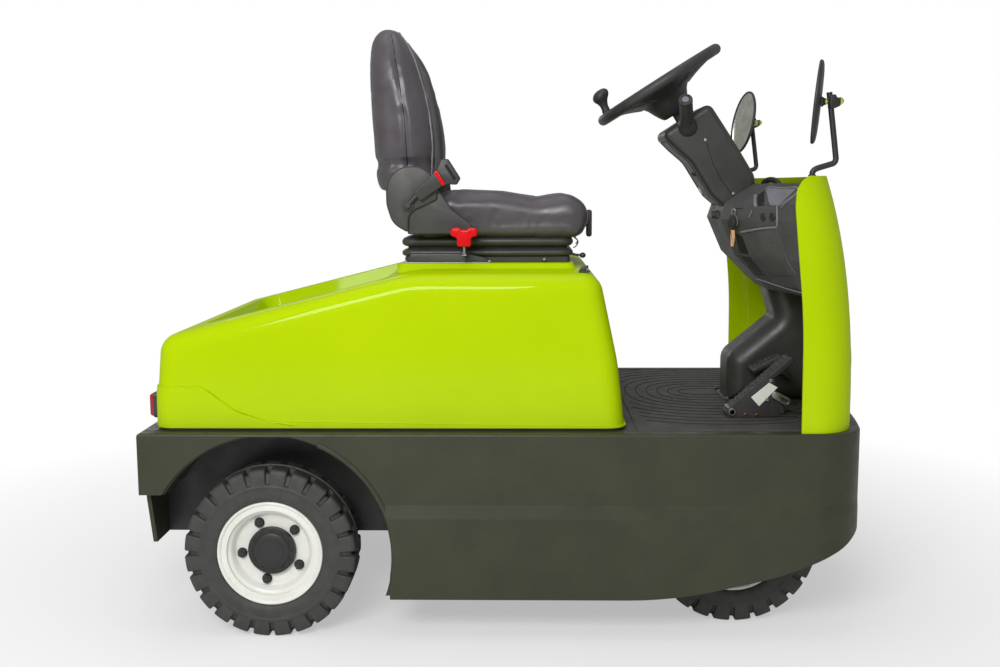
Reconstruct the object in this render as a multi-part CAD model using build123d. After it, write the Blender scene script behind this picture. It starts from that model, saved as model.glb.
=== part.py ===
"""Electric airport baggage tug: a small four-wheel tow tractor with a stand-in footwell and a tilting hood.

Millimetres, +X forward, +Y to the driver's left, +Z up, on the floor at mid length and mid width.
Stations are measured forward from the rear axle; the last section moves the whole tractor to its origin.
"""

import os
from math import atan2, cos, radians, sin, sqrt, tan

from build123d import *

os.makedirs("parts", exist_ok=True)

# Stance
BODY_LENGTH = 1710.0
BODY_WIDTH = 970.0
REAR_OVERHANG = 293.0
WHEELBASE = 1092.0
DECK_Z = 487.0
COUPLER_REACH = 50.0
FRONT_TYRE_CLEARANCE = 92.0
SEAT_SETBACK = 300.0

# Clearances
SEAT_GAP = 0.3
RUNNING_FIT = 0.05
HINGE_SIDE_GAP = 0.5
OVERCUT = 5.0

# Wheels
TYRE_RADIUS = 200.0
TYRE_WIDTH = 105.0
TYRE_FLAT_WIDTH = 88.0
TYRE_WALL_RADIUS = 183.0
TYRE_BEAD_HEIGHT = 8.0
RIM_SEAT_RADIUS = 102.0
RIM_FLANGE_RADIUS = 123.0
RIM_HALF_WIDTH = 48.0
RIM_FLANGE_THICKNESS = 5.0
RIM_WALL = 7.0
RIM_DISC_FACE = 14.0
RIM_DISC_THICKNESS = 6.0
RIM_DISH_RADIUS = 86.0
RIM_BORE_RADIUS = 46.0
HUB_CAP_RADIUS = 56.0
HUB_CAP_HEIGHT = 18.0
HUB_CAP_EDGE = 9.0
HUB_BARREL_RADIUS = 40.0
HUB_FLANGE_THICKNESS = 10.0
HUB_LENGTH_INBOARD = 50.0
NUT_COUNT = 5
NUT_TURN = 24.0
NUT_CIRCLE_RADIUS = 71.5
NUT_ACROSS_FLATS = 19.0
NUT_HEIGHT = 10.0
STUB_RADIUS = 20.0
STUB_END = 2.0
REAR_TYRE_INSET = 20.0
FRONT_TYRE_INSET = 128.0

# Lower body: a plate skirt with a flat flange round its top
SKIRT_WALL = 8.0
SKIRT_FLANGE = 7.0
SKIRT_BOTTOM_Z = 100.0
SKIRT_REAR_BOTTOM_Z = 110.0
SKIRT_BOW_RISE = 60.0
SKIRT_BOW_INSET = 7.0
SKIRT_CORNER_RADIUS = 120.0
SKIRT_UPPER_INSET = 7.0
SKIRT_EDGE_RADIUS = 6.0
CREASE_LOW_Z = 291.0
CREASE_HIGH_Z = 322.0
ARCH_RADIUS = 285.0
ARCH_STATION = 5.0
ARCH_FRONT_STATION = 281.0
ARCH_LINER_THICKNESS = 4.0
REAR_WING_BOTTOM_Z = 344.0
REAR_OPENING_INSET = 50.0
RAIL_TYRE_GAP = 54.0
RAIL_THICKNESS = 10.0
RAIL_BOTTOM_Z = 209.0
RAIL_NOTCH_HALF_LENGTH = 60.0
BAY_SIDE_INSET = 70.0
BAY_REAR_INSET = 68.0
BAY_FRONT_INSET = 15.0
BAY_CORNER_RADIUS = 25.0
MAT_SIDE_INSET = 40.0
MAT_REAR_INSET = 24.0
MAT_FRONT_INSET = 97.0
MAT_REAR_CORNER = 3.0
MAT_FRONT_CORNER = 60.0
FLOOR_THICKNESS = 6.0
REAR_PLATE_THICKNESS = 10.0
REAR_PLATE_INSET = 3.0
REAR_PLATE_SIDE_INSET = 52.0
REAR_PLATE_CORNER = 34.0
REAR_PLATE_CORNER_Z = 325.0

# Chassis
TRAY_REAR_STATION = 150.0
TRAY_THICKNESS = 8.0
CROSS_WALL_INSET = 20.0
REAR_BEAM_FRONT_STATION = -130.0
REAR_BEAM_Z = 380.0
REAR_BEAM_THICKNESS = 20.0
SPINE_HALF_WIDTH = 90.0
SPINE_BOTTOM_Z = 410.0
SPINE_FRONT_INSET = 40.0
SADDLE_HALF_LENGTH = 50.0
SADDLE_HALF_WIDTH = 60.0

# Drive
MOTOR_LOW_Z = 318.0
MOTOR_HEIGHT = 230.0
MOTOR_RADIUS = 95.0
MOTOR_NECK_RADIUS = 70.0
AXLE_TUBE_RADIUS = 38.0
AXLE_CASING_RADIUS = 95.0
AXLE_CASING_HALF_WIDTH = 75.0
AXLE_COVER_RADIUS = 80.0
AXLE_COVER_STEP = 15.0
AXLE_PAD_TOP_Z = 262.0
AXLE_PAD_HALF_LENGTH = 50.0
AXLE_PAD_HALF_WIDTH = 12.0
BATTERY_END_GAP = 18.0
BATTERY_SIDE_GAP = 11.0
BATTERY_TOP_Z = 715.0

# Steered axle
KING_PIN_INSET = 74.5
KING_PIN_RADIUS = 12.0
KING_PIN_HEAD = 4.0
KNUCKLE_LOW_Z = 160.0
KNUCKLE_HIGH_Z = 240.0
KNUCKLE_RADIUS = 24.0
FORK_THICKNESS = 22.0
FORK_HALF_LENGTH = 26.0
FORK_ROOT_INSET = 80.0
FORK_WEB_THICKNESS = 36.0
BEAM_HALF_LENGTH = 32.0
BEAM_END_INSET = 50.0
BEAM_BOTTOM_Z = 165.0
BEAM_TOP_Z = 235.0
STEER_ARM_LENGTH = 115.0
STEER_ARM_HALF_WIDTH = 11.0
STEER_ARM_THICKNESS = 12.0
STEER_ARM_END_RADIUS = 13.0
TIE_ROD_Z = 190.0
TIE_ROD_RADIUS = 7.0
TIE_ROD_PIN_RADIUS = 6.0
TIE_ROD_PIN_TOP = 14.0
TIE_ROD_EYE_RADIUS = 14.0
TIE_ROD_EYE_HEIGHT = 16.0
TIE_ROD_FREE_EYE_CLEARANCE = 1.0

# Tow coupler: three stacked jaws, one pin
COUPLER_Z = 330.0
COUPLER_JAW_WIDTH = 90.0
COUPLER_JAW_PITCH = 58.0
COUPLER_JAW_GAP = 42.0
COUPLER_JAW_COUNT = 3
COUPLER_PIN_RADIUS = 12.5
COUPLER_PIN_CLEARANCE = 0.5
COUPLER_PIN_SETBACK = 22.0
COUPLER_FLANGE_THICKNESS = 12.0
COUPLER_FLANGE_WIDTH = 30.0
COUPLER_FLANGE_END_GAP = 10.0

# Hood
HOOD_REAR_INSET = 30.0
HOOD_SIDE_INSET = 48.0
HOOD_HEIGHT = 359.0
HOOD_REAR_HEIGHT = 213.0
HOOD_REAR_LEAN = 13.0
HOOD_REAR_KINK_HEIGHT = 73.0
HOOD_SLOPE_SETBACK = 170.0
HOOD_WALL = 5.0
HOOD_SHOULDER_RADIUS = 42.0
HOOD_FOOT_GAP = 6.0
HOOD_LIP_PROUD = 4.0
TROUGH_SIDE_INSET = 112.0
TROUGH_REAR_INSET = 75.0
TROUGH_FRONT_INSET = 68.0
TROUGH_DEPTH = 55.0
TROUGH_CORNER_RADIUS = 45.0
TROUGH_WALL_LEAN = 18.0
PLATFORM_LENGTH = 446.0
PLATFORM_WIDTH = 514.0
PLATFORM_RISE = 12.0
PLATFORM_CORNER_RADIUS = 30.0
PLATFORM_WALL_LEAN = 30.0
SEAL_INSET = 5.0
SEAL_WIDTH = 17.0
HINGE_SETBACK = 14.0
HINGE_HEIGHT = 43.0
HINGE_Y = 190.0
HINGE_PIN_RADIUS = 4.5
HINGE_EYE_RADIUS = 8.0
HINGE_EYE_LENGTH = 30.0
HINGE_FOOT_THICKNESS = 5.0
HINGE_LEAF_THICKNESS = 4.0
TAIL_LAMP_DEPTH = 22.0
TAIL_LAMP_WIDTH = 42.0
TAIL_LAMP_HEIGHT = 60.0
TAIL_LAMP_RISE = 20.0
TAIL_LAMP_SIDE_INSET = 43.0
LATCH_LENGTH = 26.0
LATCH_WIDTH = 24.0
LATCH_HEIGHT = 16.0
LATCH_SIDE_INSET = 57.0
LATCH_FRONT_INSET = 71.0

# Cowl and dash, drawn from the body's front at deck height
COWL_SIDE_INSET = 17.0
COWL_WALL = 6.0
COWL_FRONT_INSET = 30.0
COWL_REAR = -417.0
COWL_CORNER_RADIUS = 100.0
HEADLAMP_Y = 300.0
HEADLAMP_HEIGHT = 153.0
HEADLAMP_RADIUS = 45.0
HEADLAMP_PROUD = 2.0
HEADLAMP_DEPTH = 20.0
DASH_SHOULDER_Y = 300.0
DASH_FRONT = -117.0
COVER_NOSE = -298.0
COVER_HALF_WIDTH = 82.0
COVER_EDGE_RADIUS = 42.0
KEY_BARREL_RADIUS = 9.0

# Steering column, drawn from the same place
STEER_WHEEL_SETBACK = 479.0
STEER_WHEEL_HEIGHT = 813.0
STEER_TILT = 32.0
STEER_WHEEL_RADIUS = 182.0
STEER_RIM_RADIUS = 13.5
STEER_SHAFT_RADIUS = 10.0
STEER_SHAFT_DEPTH = 220.0
STEER_SHAFT_TOP = 40.0
STEER_BOSS_RADIUS = 90.0
SPOKE_WIDTH = 40.0
SPOKE_THICKNESS = 9.0
SPOKE_DROP = 8.0
SPOKE_TURNS = (90, 210, 330)
COLUMN_HALF_WIDTH = 88.0
HEAD_EDGE_RADIUS = 12.0
KNOB_TURN = 150.0

# Derived places
HALF_WIDTH = BODY_WIDTH / 2
REAR_STATION = -REAR_OVERHANG
FRONT_STATION = BODY_LENGTH - REAR_OVERHANG
ORIGIN_STATION = (FRONT_STATION + REAR_STATION - COUPLER_REACH) / 2
REAR_TYRE_FACE_Y = HALF_WIDTH - REAR_TYRE_INSET
REAR_WHEEL_Y = REAR_TYRE_FACE_Y - TYRE_WIDTH / 2
FRONT_WHEEL_Y = HALF_WIDTH - FRONT_TYRE_INSET - TYRE_WIDTH / 2
KING_PIN_Y = FRONT_WHEEL_Y - KING_PIN_INSET
RAIL_OUTER_Y = REAR_TYRE_FACE_Y - TYRE_WIDTH - RAIL_TYRE_GAP
RAIL_INNER_Y = RAIL_OUTER_Y - RAIL_THICKNESS
RAIL_FRONT_STATION = WHEELBASE - TYRE_RADIUS - FRONT_TYRE_CLEARANCE
REAR_PLATE_STATION = REAR_STATION + REAR_PLATE_INSET
REAR_PLATE_FRONT = REAR_PLATE_STATION + REAR_PLATE_THICKNESS
UNDER_FLANGE_Z = DECK_Z - SKIRT_FLANGE
MAT_HALF_WIDTH = HALF_WIDTH - MAT_SIDE_INSET
SEAT_STATION = RAIL_FRONT_STATION - SEAT_SETBACK
HOOD_REAR_STATION = REAR_STATION + HOOD_REAR_INSET
HOOD_LIP_STATION = HOOD_REAR_STATION - HOOD_LIP_PROUD - SEAT_GAP
HOOD_HALF_WIDTH = HALF_WIDTH - HOOD_SIDE_INSET
HOOD_BOTTOM_Z = DECK_Z + HOOD_FOOT_GAP
HOOD_TOP_Z = DECK_Z + HOOD_HEIGHT
PLATFORM_Z = HOOD_TOP_Z + PLATFORM_RISE
HOOD_SLOPE_START = (HOOD_REAR_STATION + HOOD_REAR_LEAN, DECK_Z + HOOD_REAR_HEIGHT)
HOOD_SLOPE_END = (SEAT_STATION - HOOD_SLOPE_SETBACK, HOOD_TOP_Z)
HINGE_STATION = HOOD_REAR_STATION - HINGE_SETBACK
HINGE_Z = DECK_Z + HINGE_HEIGHT
COWL_HALF_WIDTH = HALF_WIDTH - COWL_SIDE_INSET
FRONT_FOOT = Pos(FRONT_STATION, 0, DECK_Z)
SEAT_FOOT = Pos(SEAT_STATION, 0, PLATFORM_Z + SEAT_GAP)
SIDES = {"left": 1, "right": -1}

parts = {}


def keep(name, shape):
    parts[name] = shape


def outline(corners):
    """Closed wire from rows of (u, v, corner radius), a radius of 0 leaving the corner sharp."""
    places = [Vector(u, v) for u, v, _ in corners]
    edges = []
    ends = []
    for index, (_, _, radius) in enumerate(corners):
        here = places[index]
        back = (places[index - 1] - here).normalized()
        ahead = (places[(index + 1) % len(places)] - here).normalized()
        if not radius:
            ends.append((here, here, None))
            continue
        half_turn = radians(back.get_angle(ahead)) / 2
        reach = radius / tan(half_turn)
        middle = here + (back + ahead).normalized() * (radius / sin(half_turn) - radius)
        ends.append((here + back * reach, here + ahead * reach, middle))
    for index, (start, finish, middle) in enumerate(ends):
        if middle is not None:
            edges.append(ThreePointArc(start, middle, finish))
        following = ends[(index + 1) % len(ends)][0]
        if (following - finish).length > 1e-6:
            edges.append(Line(finish, following))
    return make_face(edges)


def side_slab(face, y_low, y_high):
    """Side-view face (station, height) given thickness from y_low to y_high."""
    return Pos(0, y_high, 0) * extrude(Plane.XZ * face, amount=y_high - y_low)


def plan_slab(face, z_low, z_high):
    return Pos(0, 0, z_low) * extrude(face, amount=z_high - z_low)


def block(x_low, x_high, y_low, y_high, z_low, z_high):
    size = (x_high - x_low, y_high - y_low, z_high - z_low)
    middle = ((x_high + x_low) / 2, (y_high + y_low) / 2, (z_high + z_low) / 2)
    return Pos(*middle) * Box(*size)


def y_rod(x, z, radius, y_low, y_high):
    return Pos(x, (y_low + y_high) / 2, z) * Rot(90, 0, 0) * Cylinder(radius, y_high - y_low)


def z_rod(x, y, radius, z_low, z_high):
    return Pos(x, y, (z_low + z_high) / 2) * Cylinder(radius, z_high - z_low)


def rod_between(start, finish, radius):
    start, finish = Vector(*start), Vector(*finish)
    along = finish - start
    return Plane(origin=start, z_dir=along) * Cylinder(
        radius, along.length, align=(Align.CENTER, Align.CENTER, Align.MIN)
    )


def rounded_plan(x_low, x_high, half_width, rear_radius, front_radius):
    """Plan rectangle with rounded corners."""
    return outline(
        [
            (x_low, -half_width, rear_radius),
            (x_high, -half_width, front_radius),
            (x_high, half_width, front_radius),
            (x_low, half_width, rear_radius),
        ]
    )


def turned(profile):
    """Solid of revolution about the wheel axis from rows of (radius, outboard offset)."""
    face = make_face(Polyline(*profile, close=True))
    return revolve(face, Axis.Y)


def both_sides(shape):
    return Compound(children=[shape, mirror(shape, Plane.XZ)])


# Wheels, drawn round the Y axis with the outboard side at +Y
def tyre():
    half, flat = TYRE_WIDTH / 2, TYRE_FLAT_WIDTH / 2
    bore = RIM_FLANGE_RADIUS + SEAT_GAP
    shoulder = [
        (bore, RIM_HALF_WIDTH),
        (bore + TYRE_BEAD_HEIGHT, half),
        (TYRE_WALL_RADIUS, half),
        (TYRE_RADIUS, flat),
    ]
    return turned(shoulder + [(r, -a) for r, a in reversed(shoulder)])


def rim():
    """Pressed rim: a barrel that fills the tyre's bore, and a dished disc."""
    w, lip = RIM_HALF_WIDTH, RIM_FLANGE_THICKNESS
    face, back = RIM_DISC_FACE, RIM_DISC_FACE - RIM_DISC_THICKNESS
    barrel = RIM_SEAT_RADIUS - RIM_WALL
    return turned(
        [
            (RIM_FLANGE_RADIUS, w),
            (RIM_FLANGE_RADIUS - lip, w),
            (barrel, w - 3 * lip),
            (RIM_DISH_RADIUS, face),
            (RIM_BORE_RADIUS, face),
            (RIM_BORE_RADIUS, back),
            (RIM_DISH_RADIUS, back),
            (barrel, back - RIM_WALL),
            (barrel, 3 * lip - w),
            (RIM_FLANGE_RADIUS - lip, -w),
            (RIM_FLANGE_RADIUS, -w),
        ]
    )


def hub():
    back = RIM_DISC_FACE - RIM_DISC_THICKNESS - SEAT_GAP
    seat = RIM_DISC_FACE + SEAT_GAP
    top = seat + HUB_CAP_HEIGHT
    bore = STUB_RADIUS + RUNNING_FIT
    flange = NUT_CIRCLE_RADIUS + NUT_ACROSS_FLATS / 2
    neck = RIM_BORE_RADIUS - SEAT_GAP
    body = turned(
        [
            (bore, -HUB_LENGTH_INBOARD),
            (HUB_BARREL_RADIUS, -HUB_LENGTH_INBOARD),
            (HUB_BARREL_RADIUS, back - HUB_FLANGE_THICKNESS),
            (flange, back - HUB_FLANGE_THICKNESS),
            (flange, back),
            (neck, back),
            (neck, seat),
            (HUB_CAP_RADIUS, seat),
            (HUB_CAP_RADIUS, top - HUB_CAP_EDGE),
            (HUB_CAP_RADIUS - HUB_CAP_EDGE, top),
            (0, top),
            (0, STUB_END + SEAT_GAP),
            (bore, STUB_END + SEAT_GAP),
        ]
    )
    return body


def wheel_nuts():
    """Hexagon nuts on the rim's disc, turned as they stand on the wheel."""
    seat = RIM_DISC_FACE + SEAT_GAP
    hexagon = RegularPolygon(NUT_ACROSS_FLATS / 2, 6, major_radius=False)
    nut = Pos(0, seat, NUT_CIRCLE_RADIUS) * Rot(90, 0, 0) * extrude(hexagon, amount=-NUT_HEIGHT)
    return Compound(children=[Rot(0, NUT_TURN + 360 * k / NUT_COUNT, 0) * nut for k in range(NUT_COUNT)])


WHEEL_PLACES = {
    # corner: (station, distance of the wheel's middle from the centre line)
    "rear": (0.0, REAR_WHEEL_Y),
    "front": (WHEELBASE, FRONT_WHEEL_Y),
}
wheel_forms = {"tyre": tyre(), "rim": rim(), "hub": Compound(children=[hub(), wheel_nuts()])}
for end, (station, wheel_y) in WHEEL_PLACES.items():
    for side, sign in SIDES.items():
        for piece, form in wheel_forms.items():
            outboard = form if sign > 0 else mirror(form, Plane.XZ)
            keep(f"{end}_{side}_{piece}", Pos(station, sign * wheel_y, TYRE_RADIUS) * outboard)


# Lower body
def bowed_plan(rear, front, half_width, corner_radius):
    """Plan with straight sides, a bowed front and rounded front corners."""
    corner = front - SKIRT_BOW_RISE
    face = make_face(
        [
            Line((rear, -half_width), (corner, -half_width)),
            ThreePointArc((corner, -half_width), (front, 0), (corner, half_width)),
            Line((corner, half_width), (rear, half_width)),
            Line((rear, half_width), (rear, -half_width)),
        ]
    )
    return fillet(face.vertices().group_by(Axis.X)[-1], corner_radius)


def body_plan(inset, rear_inset=0.0, bow_inset=0.0):
    """Skirt's plan moved inwards by inset, with its rear and its bow moved on by their own."""
    front = FRONT_STATION - inset - bow_inset
    return bowed_plan(REAR_STATION + rear_inset, front, HALF_WIDTH - inset, SKIRT_CORNER_RADIUS - inset)


def skirt_shell(inset, top_z):
    """Skirt as a solid, with its lower part proud below the crease."""
    low_plan = body_plan(inset, inset, SKIRT_BOW_INSET)
    high_plan = body_plan(SKIRT_UPPER_INSET + inset, inset)
    low = plan_slab(low_plan, SKIRT_BOTTOM_Z - OVERCUT, CREASE_LOW_Z)
    band = loft([Pos(0, 0, CREASE_LOW_Z) * low_plan, Pos(0, 0, CREASE_HIGH_Z) * high_plan], ruled=True)
    return low + band + plan_slab(high_plan, CREASE_HIGH_Z, top_z)


SKIRT_BOTTOM_OUTLINE = [
    # distance back from the front, height, corner radius
    (487, 100, 900),
    (227, 160, 700),
    (92, 222, 200),
    (33, 262, 100),
    (-5, 345, 0),
    (-5, -20, 0),
]


def skirt_bottom():
    """What is cut away under the skirt, seen from the side."""
    wide = HALF_WIDTH + OVERCUT
    rows = [(FRONT_STATION - back, height, radius) for back, height, radius in SKIRT_BOTTOM_OUTLINE]
    ends = [(ARCH_FRONT_STATION, -20, 0), (ARCH_FRONT_STATION, SKIRT_BOTTOM_Z, 0)]
    rear = block(REAR_STATION - OVERCUT, ARCH_FRONT_STATION, -wide, wide, -20, SKIRT_REAR_BOTTOM_Z)
    behind = block(REAR_STATION - OVERCUT, 0, -wide, wide, 0, REAR_WING_BOTTOM_Z)
    return side_slab(outline(ends + rows), -wide, wide) + rear + behind


def lower_body():
    outer = skirt_shell(0, DECK_Z)
    outer = fillet(outer.edges().group_by(Axis.Z)[-1], SKIRT_EDGE_RADIUS)
    inner = skirt_shell(SKIRT_WALL, UNDER_FLANGE_Z)
    rear_half = HALF_WIDTH - REAR_OPENING_INSET
    rear_open = block(
        REAR_STATION - OVERCUT, REAR_STATION + SKIRT_WALL + OVERCUT, -rear_half, rear_half, 0, UNDER_FLANGE_Z
    )
    bay = rounded_plan(
        REAR_STATION + BAY_REAR_INSET, RAIL_FRONT_STATION - BAY_FRONT_INSET, HALF_WIDTH - BAY_SIDE_INSET,
        BAY_CORNER_RADIUS, BAY_CORNER_RADIUS
    )
    mat_recess = rounded_plan(
        RAIL_FRONT_STATION + MAT_REAR_INSET, FRONT_STATION - MAT_FRONT_INSET, MAT_HALF_WIDTH,
        MAT_REAR_CORNER, MAT_FRONT_CORNER
    )
    through = (UNDER_FLANGE_Z - OVERCUT, DECK_Z + OVERCUT)
    openings = plan_slab(bay, *through) + plan_slab(mat_recess, *through)
    wide = HALF_WIDTH + OVERCUT
    arch = y_rod(ARCH_STATION, TYRE_RADIUS, ARCH_RADIUS, -wide, wide)
    arch &= block(ARCH_STATION - ARCH_RADIUS, ARCH_STATION + ARCH_RADIUS, -wide, wide, 0, UNDER_FLANGE_Z)
    return outer - inner - rear_open - openings - arch - skirt_bottom()


keep("lower_body", lower_body())


def arch_liner():
    """Rolled sheet that closes the left wheel house from the skirt in to the rail."""
    y_in, y_out = RAIL_OUTER_Y + SEAT_GAP, HALF_WIDTH - SKIRT_WALL - SKIRT_UPPER_INSET
    ring = y_rod(ARCH_STATION, TYRE_RADIUS, ARCH_RADIUS, y_in, y_out)
    ring -= y_rod(ARCH_STATION, TYRE_RADIUS, ARCH_RADIUS - ARCH_LINER_THICKNESS, y_in, y_out)
    reach = ARCH_STATION + ARCH_RADIUS
    ring &= block(-reach, reach, y_in, y_out, SKIRT_BOTTOM_Z + ARCH_LINER_THICKNESS, UNDER_FLANGE_Z)
    return ring - block(-reach, 0, y_in, y_out, 0, REAR_WING_BOTTOM_Z)


keep("arch_liners", both_sides(arch_liner()))


def rear_plate():
    half = HALF_WIDTH - REAR_PLATE_SIDE_INSET
    foot = half - REAR_PLATE_CORNER
    face = Polyline(
        (-half, UNDER_FLANGE_Z), (-half, REAR_PLATE_CORNER_Z), (-foot, RAIL_BOTTOM_Z),
        (foot, RAIL_BOTTOM_Z), (half, REAR_PLATE_CORNER_Z), (half, UNDER_FLANGE_Z), close=True
    )
    across = Plane(origin=(REAR_PLATE_STATION, 0, 0), x_dir=(0, 1, 0), z_dir=(1, 0, 0))
    return extrude(across * make_face(face), amount=REAR_PLATE_THICKNESS)


keep("rear_plate", rear_plate())


def chassis():
    """Two side rails with the battery tray between them, a rear cross beam and a front cross wall."""
    rail = block(REAR_PLATE_FRONT, RAIL_FRONT_STATION, RAIL_INNER_Y, RAIL_OUTER_Y, RAIL_BOTTOM_Z, UNDER_FLANGE_Z)
    rail -= block(
        -RAIL_NOTCH_HALF_LENGTH, RAIL_NOTCH_HALF_LENGTH, RAIL_INNER_Y - OVERCUT, RAIL_OUTER_Y + OVERCUT,
        0, AXLE_PAD_TOP_Z
    )
    inner = RAIL_INNER_Y
    tray_top = RAIL_BOTTOM_Z + TRAY_THICKNESS
    tray = block(TRAY_REAR_STATION, RAIL_FRONT_STATION, -inner, inner, RAIL_BOTTOM_Z, tray_top)
    rear_wall = block(
        TRAY_REAR_STATION, TRAY_REAR_STATION + TRAY_THICKNESS, -inner, inner, RAIL_BOTTOM_Z, UNDER_FLANGE_Z
    )
    wall_half = HALF_WIDTH - CROSS_WALL_INSET
    front_wall = block(
        RAIL_FRONT_STATION - TRAY_THICKNESS, RAIL_FRONT_STATION, -wall_half, wall_half,
        RAIL_BOTTOM_Z, UNDER_FLANGE_Z
    )
    rear_beam = block(
        REAR_PLATE_FRONT, REAR_BEAM_FRONT_STATION, -inner, inner, REAR_BEAM_Z, REAR_BEAM_Z + REAR_BEAM_THICKNESS
    )
    return rail + [mirror(rail, Plane.XZ), tray, rear_wall, front_wall, rear_beam]


def front_spine():
    """Box spine under the footwell, with the saddle that sits on the steered axle's beam."""
    spine = block(
        RAIL_FRONT_STATION + SEAT_GAP, FRONT_STATION - SPINE_FRONT_INSET, -SPINE_HALF_WIDTH, SPINE_HALF_WIDTH,
        SPINE_BOTTOM_Z, UNDER_FLANGE_Z - FLOOR_THICKNESS
    )
    saddle = block(
        WHEELBASE - SADDLE_HALF_LENGTH, WHEELBASE + SADDLE_HALF_LENGTH, -SADDLE_HALF_WIDTH, SADDLE_HALF_WIDTH,
        BEAM_TOP_Z, SPINE_BOTTOM_Z
    )
    return spine + saddle


def floor_plate():
    edge = body_plan(SKIRT_WALL + SKIRT_UPPER_INSET + SEAT_GAP)
    front_part = block(
        RAIL_FRONT_STATION + SEAT_GAP, FRONT_STATION, -HALF_WIDTH, HALF_WIDTH,
        UNDER_FLANGE_Z - FLOOR_THICKNESS, UNDER_FLANGE_Z
    )
    return plan_slab(edge, UNDER_FLANGE_Z - FLOOR_THICKNESS, UNDER_FLANGE_Z) & front_part


def floor_mat():
    face = rounded_plan(
        RAIL_FRONT_STATION + MAT_REAR_INSET + SEAT_GAP, FRONT_STATION - MAT_FRONT_INSET - SEAT_GAP,
        MAT_HALF_WIDTH - SEAT_GAP, MAT_REAR_CORNER, MAT_FRONT_CORNER
    )
    return plan_slab(face, UNDER_FLANGE_Z, DECK_Z)


keep("chassis", chassis())
keep("front_spine", front_spine())
keep("floor_plate", floor_plate())
keep("floor_mat", floor_mat())


def tow_coupler():
    """Cast coupler with stacked jaws, bolted to the rear plate."""
    x_back = REAR_STATION - COUPLER_REACH
    half = COUPLER_JAW_WIDTH / 2
    lip = COUPLER_JAW_PITCH - COUPLER_JAW_GAP
    total = COUPLER_JAW_COUNT * COUPLER_JAW_PITCH + lip
    low = COUPLER_Z - total / 2
    body = block(x_back, REAR_PLATE_STATION, -half, half, low, low + total)
    flange_half = half + COUPLER_FLANGE_WIDTH
    flange = block(
        REAR_PLATE_STATION - COUPLER_FLANGE_THICKNESS, REAR_PLATE_STATION, -flange_half, flange_half,
        low + COUPLER_FLANGE_END_GAP, low + total - COUPLER_FLANGE_END_GAP
    )
    slots = []
    for level in range(COUPLER_JAW_COUNT):
        z = low + COUPLER_JAW_PITCH * level + lip
        slots.append(
            block(
                x_back - OVERCUT, REAR_PLATE_STATION - COUPLER_FLANGE_THICKNESS, -half - OVERCUT,
                half + OVERCUT, z, z + COUPLER_JAW_GAP
            )
        )
    pin_radius = COUPLER_PIN_RADIUS + COUPLER_PIN_CLEARANCE
    pin_hole = z_rod(x_back + COUPLER_PIN_SETBACK, 0, pin_radius, low - OVERCUT, low + total + OVERCUT)
    return (body + flange) - slots - pin_hole


keep("tow_coupler", tow_coupler())


# Running gear
def drive_axle():
    hub_end = REAR_WHEEL_Y - HUB_LENGTH_INBOARD - HINGE_SIDE_GAP
    stub_end = REAR_WHEEL_Y + STUB_END
    cover_half = AXLE_CASING_HALF_WIDTH + AXLE_COVER_STEP
    tube = y_rod(0, TYRE_RADIUS, AXLE_TUBE_RADIUS, -hub_end, hub_end)
    stub = y_rod(0, TYRE_RADIUS, STUB_RADIUS, -stub_end, stub_end)
    casing = y_rod(0, TYRE_RADIUS, AXLE_CASING_RADIUS, -AXLE_CASING_HALF_WIDTH, AXLE_CASING_HALF_WIDTH)
    cover = y_rod(0, TYRE_RADIUS, AXLE_COVER_RADIUS, -cover_half, cover_half)
    neck = z_rod(0, 0, MOTOR_NECK_RADIUS, TYRE_RADIUS, MOTOR_LOW_Z)
    rail_y = RAIL_OUTER_Y - RAIL_THICKNESS / 2
    pad = block(
        -AXLE_PAD_HALF_LENGTH, AXLE_PAD_HALF_LENGTH, rail_y - AXLE_PAD_HALF_WIDTH,
        rail_y + AXLE_PAD_HALF_WIDTH, TYRE_RADIUS, AXLE_PAD_TOP_Z
    )
    return tube + [stub, casing, cover, neck, pad, mirror(pad, Plane.XZ)]


def battery():
    half = RAIL_INNER_Y - BATTERY_SIDE_GAP
    return block(
        TRAY_REAR_STATION + TRAY_THICKNESS + BATTERY_END_GAP,
        RAIL_FRONT_STATION - TRAY_THICKNESS - BATTERY_END_GAP,
        -half, half, RAIL_BOTTOM_Z + TRAY_THICKNESS, BATTERY_TOP_Z
    )


keep("drive_axle", drive_axle())
keep("traction_motor", z_rod(0, 0, MOTOR_RADIUS, MOTOR_LOW_Z, MOTOR_LOW_Z + MOTOR_HEIGHT))
keep("battery", battery())


def front_axle():
    """Beam with a forked eye at each end, open outwards for the knuckle."""
    x, y = WHEELBASE, KING_PIN_Y
    beam_end = y - BEAM_END_INSET
    beam = block(x - BEAM_HALF_LENGTH, x + BEAM_HALF_LENGTH, -beam_end, beam_end, BEAM_BOTTOM_Z, BEAM_TOP_Z)
    low = KNUCKLE_LOW_Z - HINGE_SIDE_GAP - FORK_THICKNESS
    high = KNUCKLE_HIGH_Z + HINGE_SIDE_GAP
    root = y - FORK_ROOT_INSET
    fork = block(
        x - FORK_HALF_LENGTH, x + FORK_HALF_LENGTH, root, root + FORK_WEB_THICKNESS, low, high + FORK_THICKNESS
    )
    for z_low in (low, high):
        z_high = z_low + FORK_THICKNESS
        fork += block(x - FORK_HALF_LENGTH, x + FORK_HALF_LENGTH, root, y, z_low, z_high)
        fork += z_rod(x, y, FORK_HALF_LENGTH, z_low, z_high)
    fork -= z_rod(x, y, KING_PIN_RADIUS + RUNNING_FIT, low - OVERCUT, high + FORK_THICKNESS + OVERCUT)
    return beam + [fork, mirror(fork, Plane.XZ)]


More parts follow.
